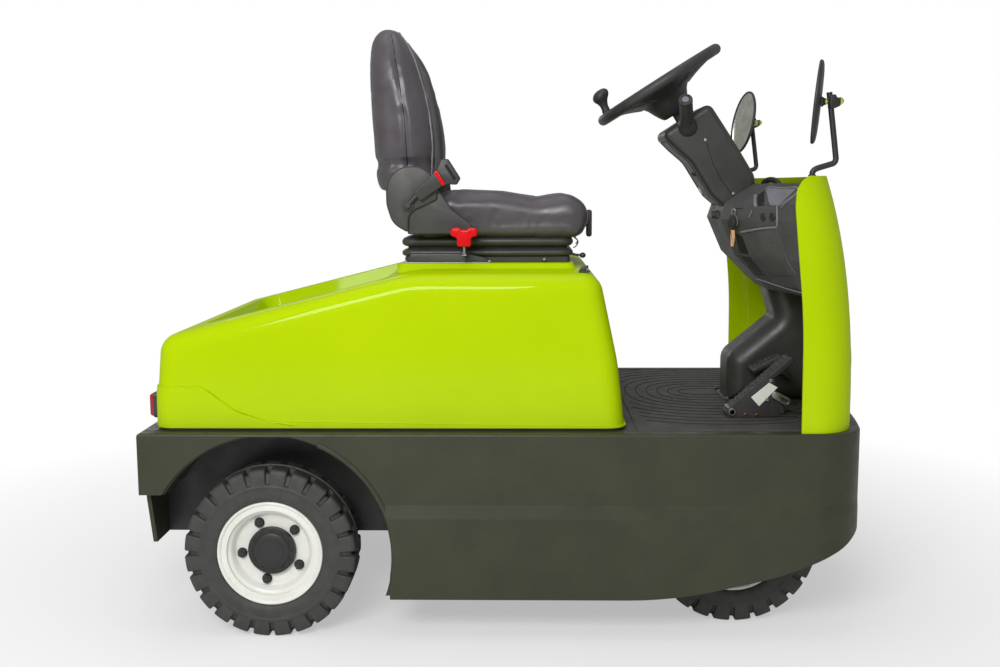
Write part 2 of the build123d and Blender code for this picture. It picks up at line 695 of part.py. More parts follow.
def knuckle():
    """Left steering knuckle: boss, king pin, stub and the arm that the tie rod holds."""
    x, y = WHEELBASE, KING_PIN_Y
    pin_reach = FORK_THICKNESS + KING_PIN_HEAD
    boss = z_rod(x, y, KNUCKLE_RADIUS, KNUCKLE_LOW_Z, KNUCKLE_HIGH_Z)
    pin = z_rod(x, y, KING_PIN_RADIUS, KNUCKLE_LOW_Z - pin_reach, KNUCKLE_HIGH_Z + pin_reach)
    stub = y_rod(x, TYRE_RADIUS, STUB_RADIUS, y, FRONT_WHEEL_Y + STUB_END)
    top = TIE_ROD_Z - TIE_ROD_EYE_HEIGHT / 2 - HINGE_SIDE_GAP
    low = top - STEER_ARM_THICKNESS
    end = x - STEER_ARM_LENGTH
    arm = block(end, x, y - STEER_ARM_HALF_WIDTH, y + STEER_ARM_HALF_WIDTH, low, top)
    arm_end = z_rod(end, y, STEER_ARM_END_RADIUS, low, top)
    tie_pin = z_rod(end, y, TIE_ROD_PIN_RADIUS, top, TIE_ROD_Z + TIE_ROD_PIN_TOP)
    return boss + [pin, stub, arm, arm_end, tie_pin]


def tie_rod():
    x, y, z = WHEELBASE - STEER_ARM_LENGTH, KING_PIN_Y, TIE_ROD_Z
    half = TIE_ROD_EYE_HEIGHT / 2
    low, high = z - half - OVERCUT, z + half + OVERCUT
    bar = y_rod(x, z, TIE_ROD_RADIUS, -y, y)
    eyes = [z_rod(x, sign * y, TIE_ROD_EYE_RADIUS, z - half, z + half) for sign in SIDES.values()]
    bore = z_rod(x, y, TIE_ROD_PIN_RADIUS + RUNNING_FIT, low, high)
    free = z_rod(x, -y, TIE_ROD_PIN_RADIUS + TIE_ROD_FREE_EYE_CLEARANCE, low, high)
    return bar + eyes - bore - free


keep("front_axle", front_axle())
keep("front_left_knuckle", knuckle())
keep("front_right_knuckle", mirror(knuckle(), Plane.XZ))
keep("tie_rod", tie_rod())

# Hood
HOOD_FRONT_ROWS = [
    # station from the rails' front end, height above the deck, corner radius
    (-38, HOOD_HEIGHT, 48),
    (6, 153, 400),
    (31, -67, 0),
]
HOOD_LIP_ROWS = [
    # station from the hood's rear, height above the deck, corner radius
    (-27, 101, 0),
    (113, 101, 25),
    (193, 43, 60),
    (268, 20, 120),
]


def hood_block(inset):
    rear, foot = HOOD_REAR_STATION, DECK_Z - 67
    rows = [
        (rear, foot, 0),
        (rear, DECK_Z + HOOD_REAR_KINK_HEIGHT, 300),
        (*HOOD_SLOPE_START, 50),
        (*HOOD_SLOPE_END, 300),
    ]
    rows += [(RAIL_FRONT_STATION + x, DECK_Z + z, radius) for x, z, radius in HOOD_FRONT_ROWS]
    face = outline(rows)
    if inset:
        face = offset(face, amount=-inset, kind=Kind.INTERSECTION)
    half = HOOD_HALF_WIDTH - inset
    solid = side_slab(face, -half, half)
    rim_edges = [
        edge
        for edge in solid.edges()
        if abs(abs(edge.center().Y) - half) < 0.01 and edge.center().Z > foot + 2 * OVERCUT
    ]
    return fillet(rim_edges, HOOD_SHOULDER_RADIUS - inset)


def trough(grow):
    """Recess in the sloping rear top, with walls that lean outwards."""
    (x_low, z_low), (x_high, z_high) = HOOD_SLOPE_START, HOOD_SLOPE_END
    slope = atan2(z_high - z_low, x_high - x_low)
    start, finish = x_low + TROUGH_REAR_INSET, x_high - TROUGH_FRONT_INSET
    middle = (start + finish) / 2
    place = Plane(
        origin=(middle, 0, z_low + tan(slope) * (middle - x_low) + 1),
        x_dir=(cos(slope), 0, sin(slope)),
        z_dir=(sin(slope), 0, -cos(slope)),
    )
    half = HOOD_HALF_WIDTH - TROUGH_SIDE_INSET + grow
    face = RectangleRounded((finish - start) / cos(slope) + 2 * grow, 2 * half, TROUGH_CORNER_RADIUS)
    return extrude(place * face, amount=TROUGH_DEPTH + grow, taper=TROUGH_WALL_LEAN)


def platform(inset):
    """Raised pad that the seat stands on; it starts inside the hood's top."""
    root = 2 * HOOD_WALL
    face = RectangleRounded(PLATFORM_LENGTH - 2 * inset, PLATFORM_WIDTH - 2 * inset, PLATFORM_CORNER_RADIUS)
    height = PLATFORM_RISE + root - inset
    return Pos(SEAT_STATION, 0, HOOD_TOP_Z - root) * extrude(face, amount=height, taper=PLATFORM_WALL_LEAN)


def hood():
    outer = hood_block(0) + platform(0) - trough(0)
    inner = hood_block(HOOD_WALL) + platform(HOOD_WALL) - trough(HOOD_WALL)
    ahead, under = RAIL_FRONT_STATION + 50 - HOOD_REAR_STATION, -7
    lip_rows = [(-27, under, 0), *HOOD_LIP_ROWS, (ahead, 9, 0), (ahead, under, 0)]
    lip_face = outline([(HOOD_REAR_STATION + x, DECK_Z + z, radius) for x, z, radius in lip_rows])
    lip = hood_block(-HOOD_LIP_PROUD) & side_slab(lip_face, -HALF_WIDTH, HALF_WIDTH)
    below = block(
        REAR_STATION - OVERCUT, FRONT_STATION, -HALF_WIDTH, HALF_WIDTH, 0, HOOD_BOTTOM_Z
    )
    return outer + lip - inner - below


def hood_seal():
    rear, front = HOOD_REAR_STATION + SEAL_INSET, RAIL_FRONT_STATION + 18
    half = HOOD_HALF_WIDTH - SEAL_INSET
    outer = rounded_plan(rear, front, half, 36, 36)
    inner = rounded_plan(rear + SEAL_WIDTH, front - SEAL_WIDTH, half - SEAL_WIDTH, 25, 25)
    return plan_slab(outer - inner, DECK_Z, HOOD_BOTTOM_Z - SEAT_GAP)


keep("hood", hood())
keep("hood_seal", hood_seal())


def hinge_bracket(y):
    """Fixed half of one hood hinge: foot on the deck, two eyes round the pin."""
    half = HINGE_EYE_RADIUS + 1
    foot_half = 1.2 * HINGE_EYE_LENGTH
    solid = block(
        HINGE_STATION - half, HINGE_STATION + half, y - foot_half, y + foot_half,
        DECK_Z, DECK_Z + HINGE_FOOT_THICKNESS
    )
    eye_half = HINGE_EYE_LENGTH / 2 - HINGE_SIDE_GAP - 6
    for middle in (y - HINGE_EYE_LENGTH, y + HINGE_EYE_LENGTH):
        low, high = middle - eye_half, middle + eye_half
        solid += block(HINGE_STATION - 6, HINGE_STATION + 6, low, high, DECK_Z, HINGE_Z)
        solid += y_rod(HINGE_STATION, HINGE_Z, HINGE_EYE_RADIUS, low, high)
    pin_half = 2 * HINGE_EYE_LENGTH
    return solid - y_rod(HINGE_STATION, HINGE_Z, HINGE_PIN_RADIUS + RUNNING_FIT, y - pin_half, y + pin_half)


def hinge_leaf(y):
    """Moving half: one eye with its pin, on a leaf that sits on the hood's rear wall."""
    half = HINGE_EYE_LENGTH / 2 - 2
    eye = y_rod(HINGE_STATION, HINGE_Z, HINGE_EYE_RADIUS, y - half, y + half)
    pin_half = 1.5 * HINGE_EYE_LENGTH
    pin = y_rod(HINGE_STATION, HINGE_Z, HINGE_PIN_RADIUS, y - pin_half, y + pin_half)
    wall = HOOD_LIP_STATION
    leaf = block(
        wall - HINGE_LEAF_THICKNESS, wall, y - HINGE_EYE_LENGTH, y + HINGE_EYE_LENGTH, HINGE_Z + 14, HINGE_Z + 50
    )
    arm = block(wall - 3 * HINGE_LEAF_THICKNESS, wall, y - half, y + half, HINGE_Z, HINGE_Z + 20)
    return eye + [pin, leaf, arm]


keep("hinge_brackets", Compound(children=[hinge_bracket(sign * HINGE_Y) for sign in SIDES.values()]))
keep("hinge_leaves", Compound(children=[hinge_leaf(sign * HINGE_Y) for sign in SIDES.values()]))


def tail_lamp():
    y_out, low = HOOD_HALF_WIDTH - TAIL_LAMP_SIDE_INSET, DECK_Z + TAIL_LAMP_RISE
    return block(
        HOOD_LIP_STATION - TAIL_LAMP_DEPTH, HOOD_LIP_STATION, y_out - TAIL_LAMP_WIDTH, y_out,
        low, low + TAIL_LAMP_HEIGHT
    )


def hood_latch():
    """Release handle at the right front corner of the hood's top."""
    front = RAIL_FRONT_STATION - LATCH_FRONT_INSET + LATCH_LENGTH / 2
    middle = LATCH_SIDE_INSET - HOOD_HALF_WIDTH
    low = HOOD_TOP_Z + SEAT_GAP
    return block(
        front - LATCH_LENGTH, front, middle - LATCH_WIDTH / 2, middle + LATCH_WIDTH / 2, low, low + LATCH_HEIGHT
    )


keep("tail_lamps", both_sides(tail_lamp()))
keep("hood_latch", hood_latch())

# Seat, drawn from the middle of the hood's platform
SEAT_HALF_WIDTH = 240.0
SEAT_BASE_THICKNESS = 14.0
SEAT_BASE_INSET = 8.0
BELLOWS_LENGTH = 424.0
BELLOWS_HALF_WIDTH = 205.0
BELLOWS_TOP = 63.7
BELLOWS_ROLLS = 2
BELLOWS_CORNER_RADIUS = 30.0
BELLOWS_ROLL_SHARE = 0.3
RECLINER_THICKNESS = 22.0
SEAT_FIN_THICKNESS = 14.0
BUCKLE_THICKNESS = 14.0
BUCKLE_STALK_RADIUS = 4.0
BUCKLE_BOLT_RADIUS = 12.0
BUCKLE_BOLT = (-188, 142)
BUCKLE_STALK_END = (-155, 172)
CUSHION_OUTLINE = [
    # station, height, corner radius
    (-200, BELLOWS_TOP + SEAT_GAP, 0),
    (235, BELLOWS_TOP + SEAT_GAP, 18),
    (256, 107, 30),
    (244, 146, 30),
    (200, 164, 60),
    (132, 154, 60),
    (20, 174, 80),
    (-95, 174, 40),
    (-170, 142, 40),
    (-200, 117, 10),
]
CUSHION_PLAN = [
    # station, side, corner radius
    (-210, -SEAT_HALF_WIDTH, 40),
    (262, -SEAT_HALF_WIDTH, 90),
    (262, SEAT_HALF_WIDTH, 90),
    (-210, SEAT_HALF_WIDTH, 40),
]
BACK_OUTLINE = [
    # station, height, corner radius
    (-268, 176, 20),
    (-279, 332, 600),
    (-287, 492, 120),
    (-278, 583, 26),
    (-232, 583, 30),
    (-170, 494, 200),
    (-126, 357, 150),
    (-121, 262, 60),
    (-148, 182, 30),
]
BACK_FRONT_VIEW = [
    # side, height, corner radius, for the left half
    (SEAT_HALF_WIDTH, 170, 30),
    (SEAT_HALF_WIDTH, 292, 0),
    (SEAT_HALF_WIDTH - 12, 452, 300),
    (SEAT_HALF_WIDTH - 90, 592, 100),
]
RECLINER_OUTLINE = [
    # station, height, corner radius
    (-241, 234, 59),
    (-116, 234, 59),
    (-119, 152, 40),
    (-178, 72, 8),
    (-238, 142, 50),
]
SEAT_FIN_OUTLINE = [
    # station, height, corner radius
    (-170, 72, 4),
    (-30, 72, 4),
    (-34, 94, 8),
    (-92, 134, 40),
    (-116, 172, 6),
    (-170, 172, 6),
]
BUCKLE_OUTLINE = [
    # station, height, corner radius
    (-174, 171, 5),
    (-156, 150, 5),
    (-95, 192, 3),
    (-116, 225, 3),
]
BUCKLE_HEAD_OUTLINE = [
    # station, height, corner radius
    (-119, 223, 0),
    (-99, 190, 0),
    (-69, 189, 6),
    (-60, 204, 6),
    (-89, 250, 6),
    (-107, 249, 6),
]


def seat_base():
    half_length = BELLOWS_LENGTH / 2 - SEAT_BASE_INSET
    half_width = BELLOWS_HALF_WIDTH - SEAT_BASE_INSET
    return block(-half_length, half_length, -half_width, half_width, 0, SEAT_BASE_THICKNESS)


def seat_bellows():
    """Rubber boot with full rolls, on the seat base."""
    low = SEAT_BASE_THICKNESS
    roll = (BELLOWS_TOP - low) / BELLOWS_ROLLS
    rolls = []
    for level in range(BELLOWS_ROLLS):
        layer = Box(BELLOWS_LENGTH, 2 * BELLOWS_HALF_WIDTH, roll)
        layer = fillet(layer.edges().filter_by(Axis.Z), BELLOWS_CORNER_RADIUS)
        rims = layer.edges().group_by(Axis.Z)
        layer = chamfer(rims[0] + rims[-1], roll * BELLOWS_ROLL_SHARE)
        rolls.append(Pos(0, 0, low + roll * (level + 0.5)) * layer)
    return rolls[0] + rolls[1:]


def seat_cushion():
    solid = side_slab(outline(CUSHION_OUTLINE), -SEAT_HALF_WIDTH, SEAT_HALF_WIDTH)
    top = max(height for _, height, _ in CUSHION_OUTLINE)
    return solid & plan_slab(outline(CUSHION_PLAN), 0, top)


def seat_back():
    solid = side_slab(outline(BACK_OUTLINE), -SEAT_HALF_WIDTH, SEAT_HALF_WIDTH)
    rear = min(station for station, _, _ in BACK_OUTLINE)
    across = Plane(origin=(rear, 0, 0), x_dir=(0, 1, 0), z_dir=(1, 0, 0))
    other_half = [(-side, height, radius) for side, height, radius in reversed(BACK_FRONT_VIEW)]
    return solid & extrude(across * outline(BACK_FRONT_VIEW + other_half), amount=2 * SEAT_HALF_WIDTH)


def recliner_cover():
    """Left hinge cover: a leaf-shaped disc in front of the fin that runs down to the seat pan."""
    near = SEAT_HALF_WIDTH + SEAT_GAP
    disc = side_slab(outline(RECLINER_OUTLINE), near, near + RECLINER_THICKNESS)
    return disc + side_slab(outline(SEAT_FIN_OUTLINE), near, near + SEAT_FIN_THICKNESS)


def seat_buckle():
    """Belt buckle on its stalk, bolted to the right recliner cover."""
    near = -(SEAT_HALF_WIDTH + RECLINER_THICKNESS + 2 * SEAT_GAP)
    far = near - BUCKLE_THICKNESS
    stalk_y = (near + far) / 2
    (x_low, z_low), (x_high, z_high) = BUCKLE_BOLT, BUCKLE_STALK_END
    stalk = rod_between((x_low, stalk_y, z_low), (x_high, stalk_y, z_high), BUCKLE_STALK_RADIUS)
    bolt = y_rod(x_low, z_low, BUCKLE_BOLT_RADIUS, far, near)
    case = side_slab(outline(BUCKLE_OUTLINE), far, near)
    head = side_slab(outline(BUCKLE_HEAD_OUTLINE), far - 2, near)
    return case + [head, stalk, bolt]


def seat_knobs():
    """Red grip beside the seat, tilt handle in front of it and the slide lever below."""
    side = -BELLOWS_HALF_WIDTH - SEAT_GAP
    front = BELLOWS_LENGTH / 2 + SEAT_GAP
    spindle = y_rod(-53, 51, 6, side - 45, side)
    grip = block(-70, -36, side - 70, side - 45, 41, 70)
    bar = block(-85, -21, side - 76, side - 51, 68, 87)
    rod = rod_between((front, -100, 53), (260, -100, 53), 5)
    handle = block(258, 267, -112, -88, 48, 119)
    slide_end = (236, -170, 15)
    slide = rod_between((front, -170, 20), slide_end, 3) + Pos(*slide_end) * Sphere(6)
    return Compound(children=[spindle + [grip, bar], rod + handle, slide])


SEAT_PIECES = {
    "seat_base": seat_base(),
    "seat_bellows": seat_bellows(),
    "seat_cushion": seat_cushion(),
    "seat_back": seat_back(),
    "recliner_covers": both_sides(recliner_cover()),
    "seat_buckle": seat_buckle(),
    "seat_knobs": seat_knobs(),
}
for name, piece in SEAT_PIECES.items():
    keep(name, SEAT_FOOT * piece)

# Cowl
COWL_LEVELS = [
    # height, how far the front leans back from its foot
    (0.0, 0.0),
    (213.0, 5.0),
    (393.0, 26.0),
    (577.0, 72.0),
]
WING_EDGE_OUTLINE = [
    # station, height, corner radius
    (-199, -87, 0),
    (-202, 253, 1500),
    (-229, 513, 200),
    (-226, 547, 25),
    (-214, 567, 25),
    (-187, 583, 0),
    (-187, 613, 0),
]


def cowl_block(inset):
    """Cowl as a solid; its front leans back towards the top."""
    sections = []
    for z, lean in COWL_LEVELS:
        front = -COWL_FRONT_INSET - lean - inset
        plan = bowed_plan(COWL_REAR, front, COWL_HALF_WIDTH - inset, COWL_CORNER_RADIUS - inset)
        sections.append(Pos(0, 0, z) * plan)
    return loft(sections)


def lamp_rod(radius, half_length):
    """Rod along the travel direction through the cowl's bowed front, at a headlamp's place."""
    bow_radius = (COWL_HALF_WIDTH**2 + SKIRT_BOW_RISE**2) / (2 * SKIRT_BOW_RISE)
    face = -COWL_FRONT_INSET - bow_radius + sqrt(bow_radius**2 - HEADLAMP_Y**2)
    return Pos(face, HEADLAMP_Y, HEADLAMP_HEIGHT) * Rot(0, 90, 0) * Cylinder(radius, 2 * half_length)


def headlamp():
    """Round lamp whose lens follows the cowl and stands a little proud of it."""
    rod = lamp_rod(HEADLAMP_RADIUS, 2 * HEADLAMP_DEPTH)
    return rod & (cowl_block(-HEADLAMP_PROUD) - cowl_block(HEADLAMP_DEPTH))


def cowl():
    shell = cowl_block(0) - cowl_block(COWL_WALL)
    hole = lamp_rod(HEADLAMP_RADIUS + SEAT_GAP, 2 * HEADLAMP_DEPTH)
    low, high = WING_EDGE_OUTLINE[0][1], WING_EDGE_OUTLINE[-1][1]
    wing_edge = outline([(COWL_REAR, high, 0), (COWL_REAR, low, 0), *WING_EDGE_OUTLINE])
    return shell - [hole, mirror(hole, Plane.XZ)] - side_slab(wing_edge, -HALF_WIDTH, HALF_WIDTH)


keep("cowl", FRONT_FOOT * cowl())
keep("headlamps", FRONT_FOOT * both_sides(headlamp()))

# Dash
DASH_LEVELS = [
    # height, station of the nose, of the shoulders, of the ends at the wings, half width of the nose
    (561.0, -245.0, -212.0, -187.0, 90.0),
    (513.0, -319.0, -227.0, -195.0, 105.0),
    (473.0, -331.0, -227.0, -195.0, 110.0),
    (383.0, -293.0, -212.0, -187.0, 100.0),
    (313.0, -225.0, -177.0, -157.0, 80.0),
    (293.0, -203.0, -155.0, -139.0, 75.0),
]
DASH_HALF_WIDTH = COWL_HALF_WIDTH - COWL_WALL - SEAT_GAP
HEAD_OUTLINE = [
    # station, height, corner radius
    (-481, 685, 16),
    (-360, 763, 18),
    (-289, 657, 150),
    (-240, 577, 50),
    (-245, 505, 42),
    (-307, 493, 34),
    (-351, 529, 60),
    (-405, 615, 80),
    (-445, 649, 60),
]


def dash():
    sections = []
    for height, nose, shoulder, end, half in DASH_LEVELS:
        left = [(nose, half), (shoulder, DASH_SHOULDER_Y), (end, DASH_HALF_WIDTH), (DASH_FRONT, DASH_HALF_WIDTH)]
        right = [(x, -y) for x, y in reversed(left)]
        sections.append(Pos(0, 0, height) * make_face(Polyline(*left, *right, close=True)))
    moulding = loft(sections, ruled=True) & cowl_block(COWL_WALL + SEAT_GAP)
    head = offset(outline(HEAD_OUTLINE), amount=SEAT_GAP)
    half = COLUMN_HALF_WIDTH + SEAT_GAP
    return moulding - side_slab(head, -half, half)


def key_barrel():
    """Ignition barrel on the dash's nose, to the right of the middle."""
    nose = DASH_LEVELS[2][1] - SEAT_GAP
    height = DASH_LEVELS[2][0] + KEY_BARREL_RADIUS
    return rod_between((nose - 28, -60, height), (nose, -60, height), KEY_BARREL_RADIUS)


keep("dash", FRONT_FOOT * dash())
keep("dash_controls", FRONT_FOOT * key_barrel())


# Column cover and column
def column_cover():
    top = DASH_LEVELS[-1][0] - SEAT_GAP
    front = -67
    face = outline(
        [
            (COVER_NOSE, 0, 0),
            (COVER_NOSE, 117, 45),
            (-175, 219, 22),
            (-199, top, 0),
            (front, top, 0),
            (front, 0, 0),
        ]
    )
    solid = side_slab(face, -COVER_HALF_WIDTH, COVER_HALF_WIDTH)
    nose_edges = [
        edge
        for edge in solid.edges()
        if abs(abs(edge.center().Y) - COVER_HALF_WIDTH) < 0.01 and edge.center().X < -172
    ]
    return fillet(nose_edges, COVER_EDGE_RADIUS)


keep("column_cover", FRONT_FOOT * column_cover())

TILT = radians(STEER_TILT)
WHEEL_PLANE = Plane(
    origin=(-STEER_WHEEL_SETBACK, 0, STEER_WHEEL_HEIGHT), x_dir=(cos(TILT), 0, sin(TILT)),
    z_dir=(-sin(TILT), 0, cos(TILT))
)
RING_RADIUS = STEER_WHEEL_RADIUS - STEER_RIM_RADIUS
BOSS_PROFILE = [
    # radius, height above the rim's plane
    (0, -86), (34, -86), (46, -70), (52, -54), (66, -32), (96, -18), (112, -13), (112, -7), (40, 0), (0, 0),
]
KNOB_PROFILE = [
    # radius, height above the rim
    (0, 0), (11, 0), (10.5, 14), (15, 27), (22, 37), (23.5, 45), (20, 54), (12, 59), (0, 60),
]


def lathed(profile):
    """Solid of revolution about the Z axis from rows of (radius, height)."""
    return revolve(Plane.XZ * make_face(Polyline(*profile, close=True)), Axis.Z)


def shaft_rod(radius):
    length = STEER_SHAFT_DEPTH - STEER_SHAFT_TOP
    return Pos(0, 0, -(STEER_SHAFT_DEPTH + STEER_SHAFT_TOP) / 2) * Cylinder(radius, length)


def column_head():
    solid = side_slab(outline(HEAD_OUTLINE), -COLUMN_HALF_WIDTH, COLUMN_HALF_WIDTH)
    rim_edges = [edge for edge in solid.edges() if abs(abs(edge.center().Y) - COLUMN_HALF_WIDTH) < 0.01]
    solid = fillet(rim_edges, HEAD_EDGE_RADIUS)
    return solid - WHEEL_PLANE * Pos(0, 0, -OVERCUT) * shaft_rod(STEER_SHAFT_RADIUS + RUNNING_FIT)


def steering_wheel():
    """Rim, dished boss with its spokes, and the shaft that runs in the column head."""
    spoke_length = RING_RADIUS - STEER_BOSS_RADIUS
    spoke = Pos((RING_RADIUS + STEER_BOSS_RADIUS) / 2, 0, -SPOKE_DROP) * Box(
        spoke_length, SPOKE_WIDTH, SPOKE_THICKNESS
    )
    spokes = [Rot(0, 0, turn) * spoke for turn in SPOKE_TURNS]
    rim_ring = Torus(RING_RADIUS, STEER_RIM_RADIUS)
    return WHEEL_PLANE * (rim_ring + [lathed(BOSS_PROFILE), *spokes, shaft_rod(STEER_SHAFT_RADIUS)])


def spinner_knob():
    place = Rot(0, 0, KNOB_TURN) * Pos(RING_RADIUS, 0, STEER_RIM_RADIUS + SEAT_GAP)
    return WHEEL_PLANE * place * lathed(KNOB_PROFILE)


def column_stalk():
    side = -COLUMN_HALF_WIDTH - SEAT_GAP
    root_x, root_z = -414, 693
    grip = rod_between((root_x, side - 12, root_z), (-433, side - 80, 765), 15)
    beside = block(root_x - 100, root_x + 100, side - 200, side, root_z - 100, root_z + 200)
    return (y_rod(root_x, root_z, 17, side - 20, side) + grip) & beside


keep("column_head", FRONT_FOOT * column_head())
keep("steering_wheel", FRONT_FOOT * steering_wheel())
keep("spinner_knob", FRONT_FOOT * spinner_knob())
keep("column_stalks", FRONT_FOOT * column_stalk())

# Pedals
ACCELERATOR_Y = -252.0
TREADLE_HALF_WIDTH = 30.0
PEDAL_PLATE_THICKNESS = 6.0
PEDAL_FOOT_THICKNESS = 6.0
PEDAL_PIVOT = (-325, 14)
PEDAL_PIVOT_RADIUS = 8.0
BRAKE_PAD_Y = (-170.0, -105.0)
BRAKE_ARM_RADIUS = 8.0
BRAKE_ARM_END = (-155, 73)
TREADLE_OUTLINE = [
    # station, height, corner radius
    (-341, 7, 4),
    (-329, 2, 4),
    (-172, 137, 8),
    (-184, 151, 8),
]
PEDAL_PLATE_OUTLINE = [
    # station, height, corner radius
    (-335, 0, 0),
    (-337, 19, 8),
    (-247, 101, 6),
    (-221, 93, 6),
    (-231, 53, 20),
    (-207, 0, 0),
]
PEDAL_CASE_OUTLINE = [
    # station, height, corner radius
    (-287, PEDAL_FOOT_THICKNESS, 0),
    (-287, 35, 6),
    (-239, 75, 6),
    (-203, 43, 6),
    (-195, PEDAL_FOOT_THICKNESS, 0),
]
PEDAL_LEVER_OUTLINE = [
    # station, height, corner radius
    (-247, 53, 6),
    (-237, 70, 6),
    (-191, 51, 11),
    (-199, 29, 11),
]
BRAKE_PAD_OUTLINE = [
    # station, height, corner radius
    (-257, 97, 4),
    (-249, 86, 4),
    (-177, 125, 4),
    (-185, 137, 4),
]


def accelerator():
    """Treadle on its pivot, carried by a side plate and a sensor case that stand on one foot."""
    y, t = ACCELERATOR_Y, TREADLE_HALF_WIDTH
    plate_y = y - t - PEDAL_PLATE_THICKNESS
    foot = block(-333, -167, y - t, y + t, 0, PEDAL_FOOT_THICKNESS)
    treadle = side_slab(outline(TREADLE_OUTLINE), y - t, y + t)
    plate = side_slab(outline(PEDAL_PLATE_OUTLINE), plate_y, y - t)
    case = side_slab(outline(PEDAL_CASE_OUTLINE), y - t, y + 0.6 * t)
    pivot = y_rod(*PEDAL_PIVOT, PEDAL_PIVOT_RADIUS, plate_y - 4, y + t)
    lever = side_slab(outline(PEDAL_LEVER_OUTLINE), plate_y - 4, plate_y)
    return foot + [treadle, plate, case, pivot, lever]


def brake_pedal():
    """Ribbed pad on an arm that goes into the column cover."""
    pad_low, pad_high = BRAKE_PAD_Y
    middle = (pad_low + pad_high) / 2
    end_x, end_z = BRAKE_ARM_END
    pad = side_slab(outline(BRAKE_PAD_OUTLINE), pad_low, pad_high)
    arm = rod_between((-201, middle, 113), (end_x, middle, end_z), BRAKE_ARM_RADIUS)
    stay = y_rod(end_x, end_z, BRAKE_ARM_RADIUS, middle, -COVER_HALF_WIDTH - SEAT_GAP)
    return pad + [arm, stay, Pos(end_x, middle, end_z) * Sphere(BRAKE_ARM_RADIUS)]


keep("accelerator_pedal", FRONT_FOOT * accelerator())
keep("brake_pedal", FRONT_FOOT * brake_pedal())

# Mirrors
MIRROR_TURN = 17.0
MIRROR_LEAN = 5.0
MIRROR_SIDE_INSET = 43.0
MIRROR_HEIGHT = 739.0
MIRROR_STATION = -183.0
MIRROR_HALF_HEIGHT = 92.0
MIRROR_HALF_WIDTH = 56.0
MIRROR_THICKNESS = 12.0
MIRROR_BALL_RADIUS = 8.0
MIRROR_ARM_RADIUS = 6.5
MIRROR_ARM_SIDE_INSET = 34.0
MIRROR_ARM_BEND_RADIUS = 14.0
MIRROR_ARM_BENDS = [
    # station, height
    (-187, DASH_LEVELS[0][0] + SEAT_GAP),
    (-187, 591),
    (-138, 603),
    (-155, 759),
]
MIRROR_PLACE = (MIRROR_STATION, COWL_HALF_WIDTH - MIRROR_SIDE_INSET, MIRROR_HEIGHT)


def mirror_arm():
    """Left arm: one bent rod from the dash over the cowl's edge, with the clamp that holds the head."""
    arm_y = COWL_HALF_WIDTH - MIRROR_ARM_SIDE_INSET
    bends = [(x, arm_y, z) for x, z in MIRROR_ARM_BENDS]
    path = FilletPolyline(*bends, radius=MIRROR_ARM_BEND_RADIUS)
    rod = sweep(Plane(origin=bends[0], z_dir=path % 0) * Circle(MIRROR_ARM_RADIUS), path=path)
    turn = radians(MIRROR_TURN)
    reach = (MIRROR_THICKNESS + SEAT_GAP + MIRROR_BALL_RADIUS) / cos(radians(MIRROR_LEAN))
    x, y, z = MIRROR_PLACE
    ball = (x + reach * cos(turn), y + reach * sin(turn), z)
    clamp = rod_between(ball, (-135, arm_y, z + 1), 4.5)
    grip = block(-165, -141, arm_y - 11, arm_y + 11, z - 10, z + 12)
    return rod + [clamp, grip, Pos(*ball) * Sphere(MIRROR_BALL_RADIUS)]


def mirror_head():
    frame = Rot(0, 90, 0) * extrude(Ellipse(MIRROR_HALF_HEIGHT, MIRROR_HALF_WIDTH), amount=MIRROR_THICKNESS)
    return Pos(*MIRROR_PLACE) * Rot(0, 0, MIRROR_TURN) * Rot(0, MIRROR_LEAN, 0) * frame


keep("mirror_arms", FRONT_FOOT * both_sides(mirror_arm()))
keep("mirrors", FRONT_FOOT * both_sides(mirror_head()))

for name, shape in parts.items():
    export_step(Pos(-ORIGIN_STATION, 0, 0) * shape, f"parts/{name}.step")
print(len(parts), "nodes")
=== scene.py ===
"""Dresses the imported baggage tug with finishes, soft parts and fine detail, in the CAD model's frame."""

from math import copysign, cos, pi, radians, sin, tan, tau

import bmesh
import bpy
from mathutils import Matrix, Vector
from mathutils.bvhtree import BVHTree
from mathutils.kdtree import KDTree


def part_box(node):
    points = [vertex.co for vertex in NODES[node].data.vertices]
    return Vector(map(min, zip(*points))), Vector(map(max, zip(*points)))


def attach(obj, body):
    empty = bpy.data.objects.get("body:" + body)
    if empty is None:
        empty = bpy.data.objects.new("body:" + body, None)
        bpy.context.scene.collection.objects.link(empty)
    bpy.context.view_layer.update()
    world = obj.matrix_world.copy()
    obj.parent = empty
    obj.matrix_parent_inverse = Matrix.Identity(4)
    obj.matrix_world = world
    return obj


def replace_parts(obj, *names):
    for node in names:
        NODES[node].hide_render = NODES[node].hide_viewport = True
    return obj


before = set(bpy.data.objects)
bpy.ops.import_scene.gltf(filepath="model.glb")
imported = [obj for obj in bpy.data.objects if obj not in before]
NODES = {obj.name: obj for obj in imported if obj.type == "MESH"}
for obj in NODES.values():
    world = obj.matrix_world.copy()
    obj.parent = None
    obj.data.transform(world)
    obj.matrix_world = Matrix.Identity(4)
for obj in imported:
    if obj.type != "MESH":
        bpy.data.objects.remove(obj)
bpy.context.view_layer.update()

# Camera, fitted to the photograph: place in metres, angles in radians, lens on a 36 mm sensor
CAMERA_PLACE = Vector((0.0518, -2.9921, 1.0447))
CAMERA_YAW = -0.0208
CAMERA_PITCH = 0.1295
CAMERA_ROLL = -0.0036
CAMERA_LENS = 40.86
SENSOR_WIDTH = 36
NEAR_LIMIT, FAR_LIMIT = 0.05, 60

# The CAD source draws in stations, in millimetres forward from the rear axle; X = 0 is at this one
ORIGIN_STATION = 537


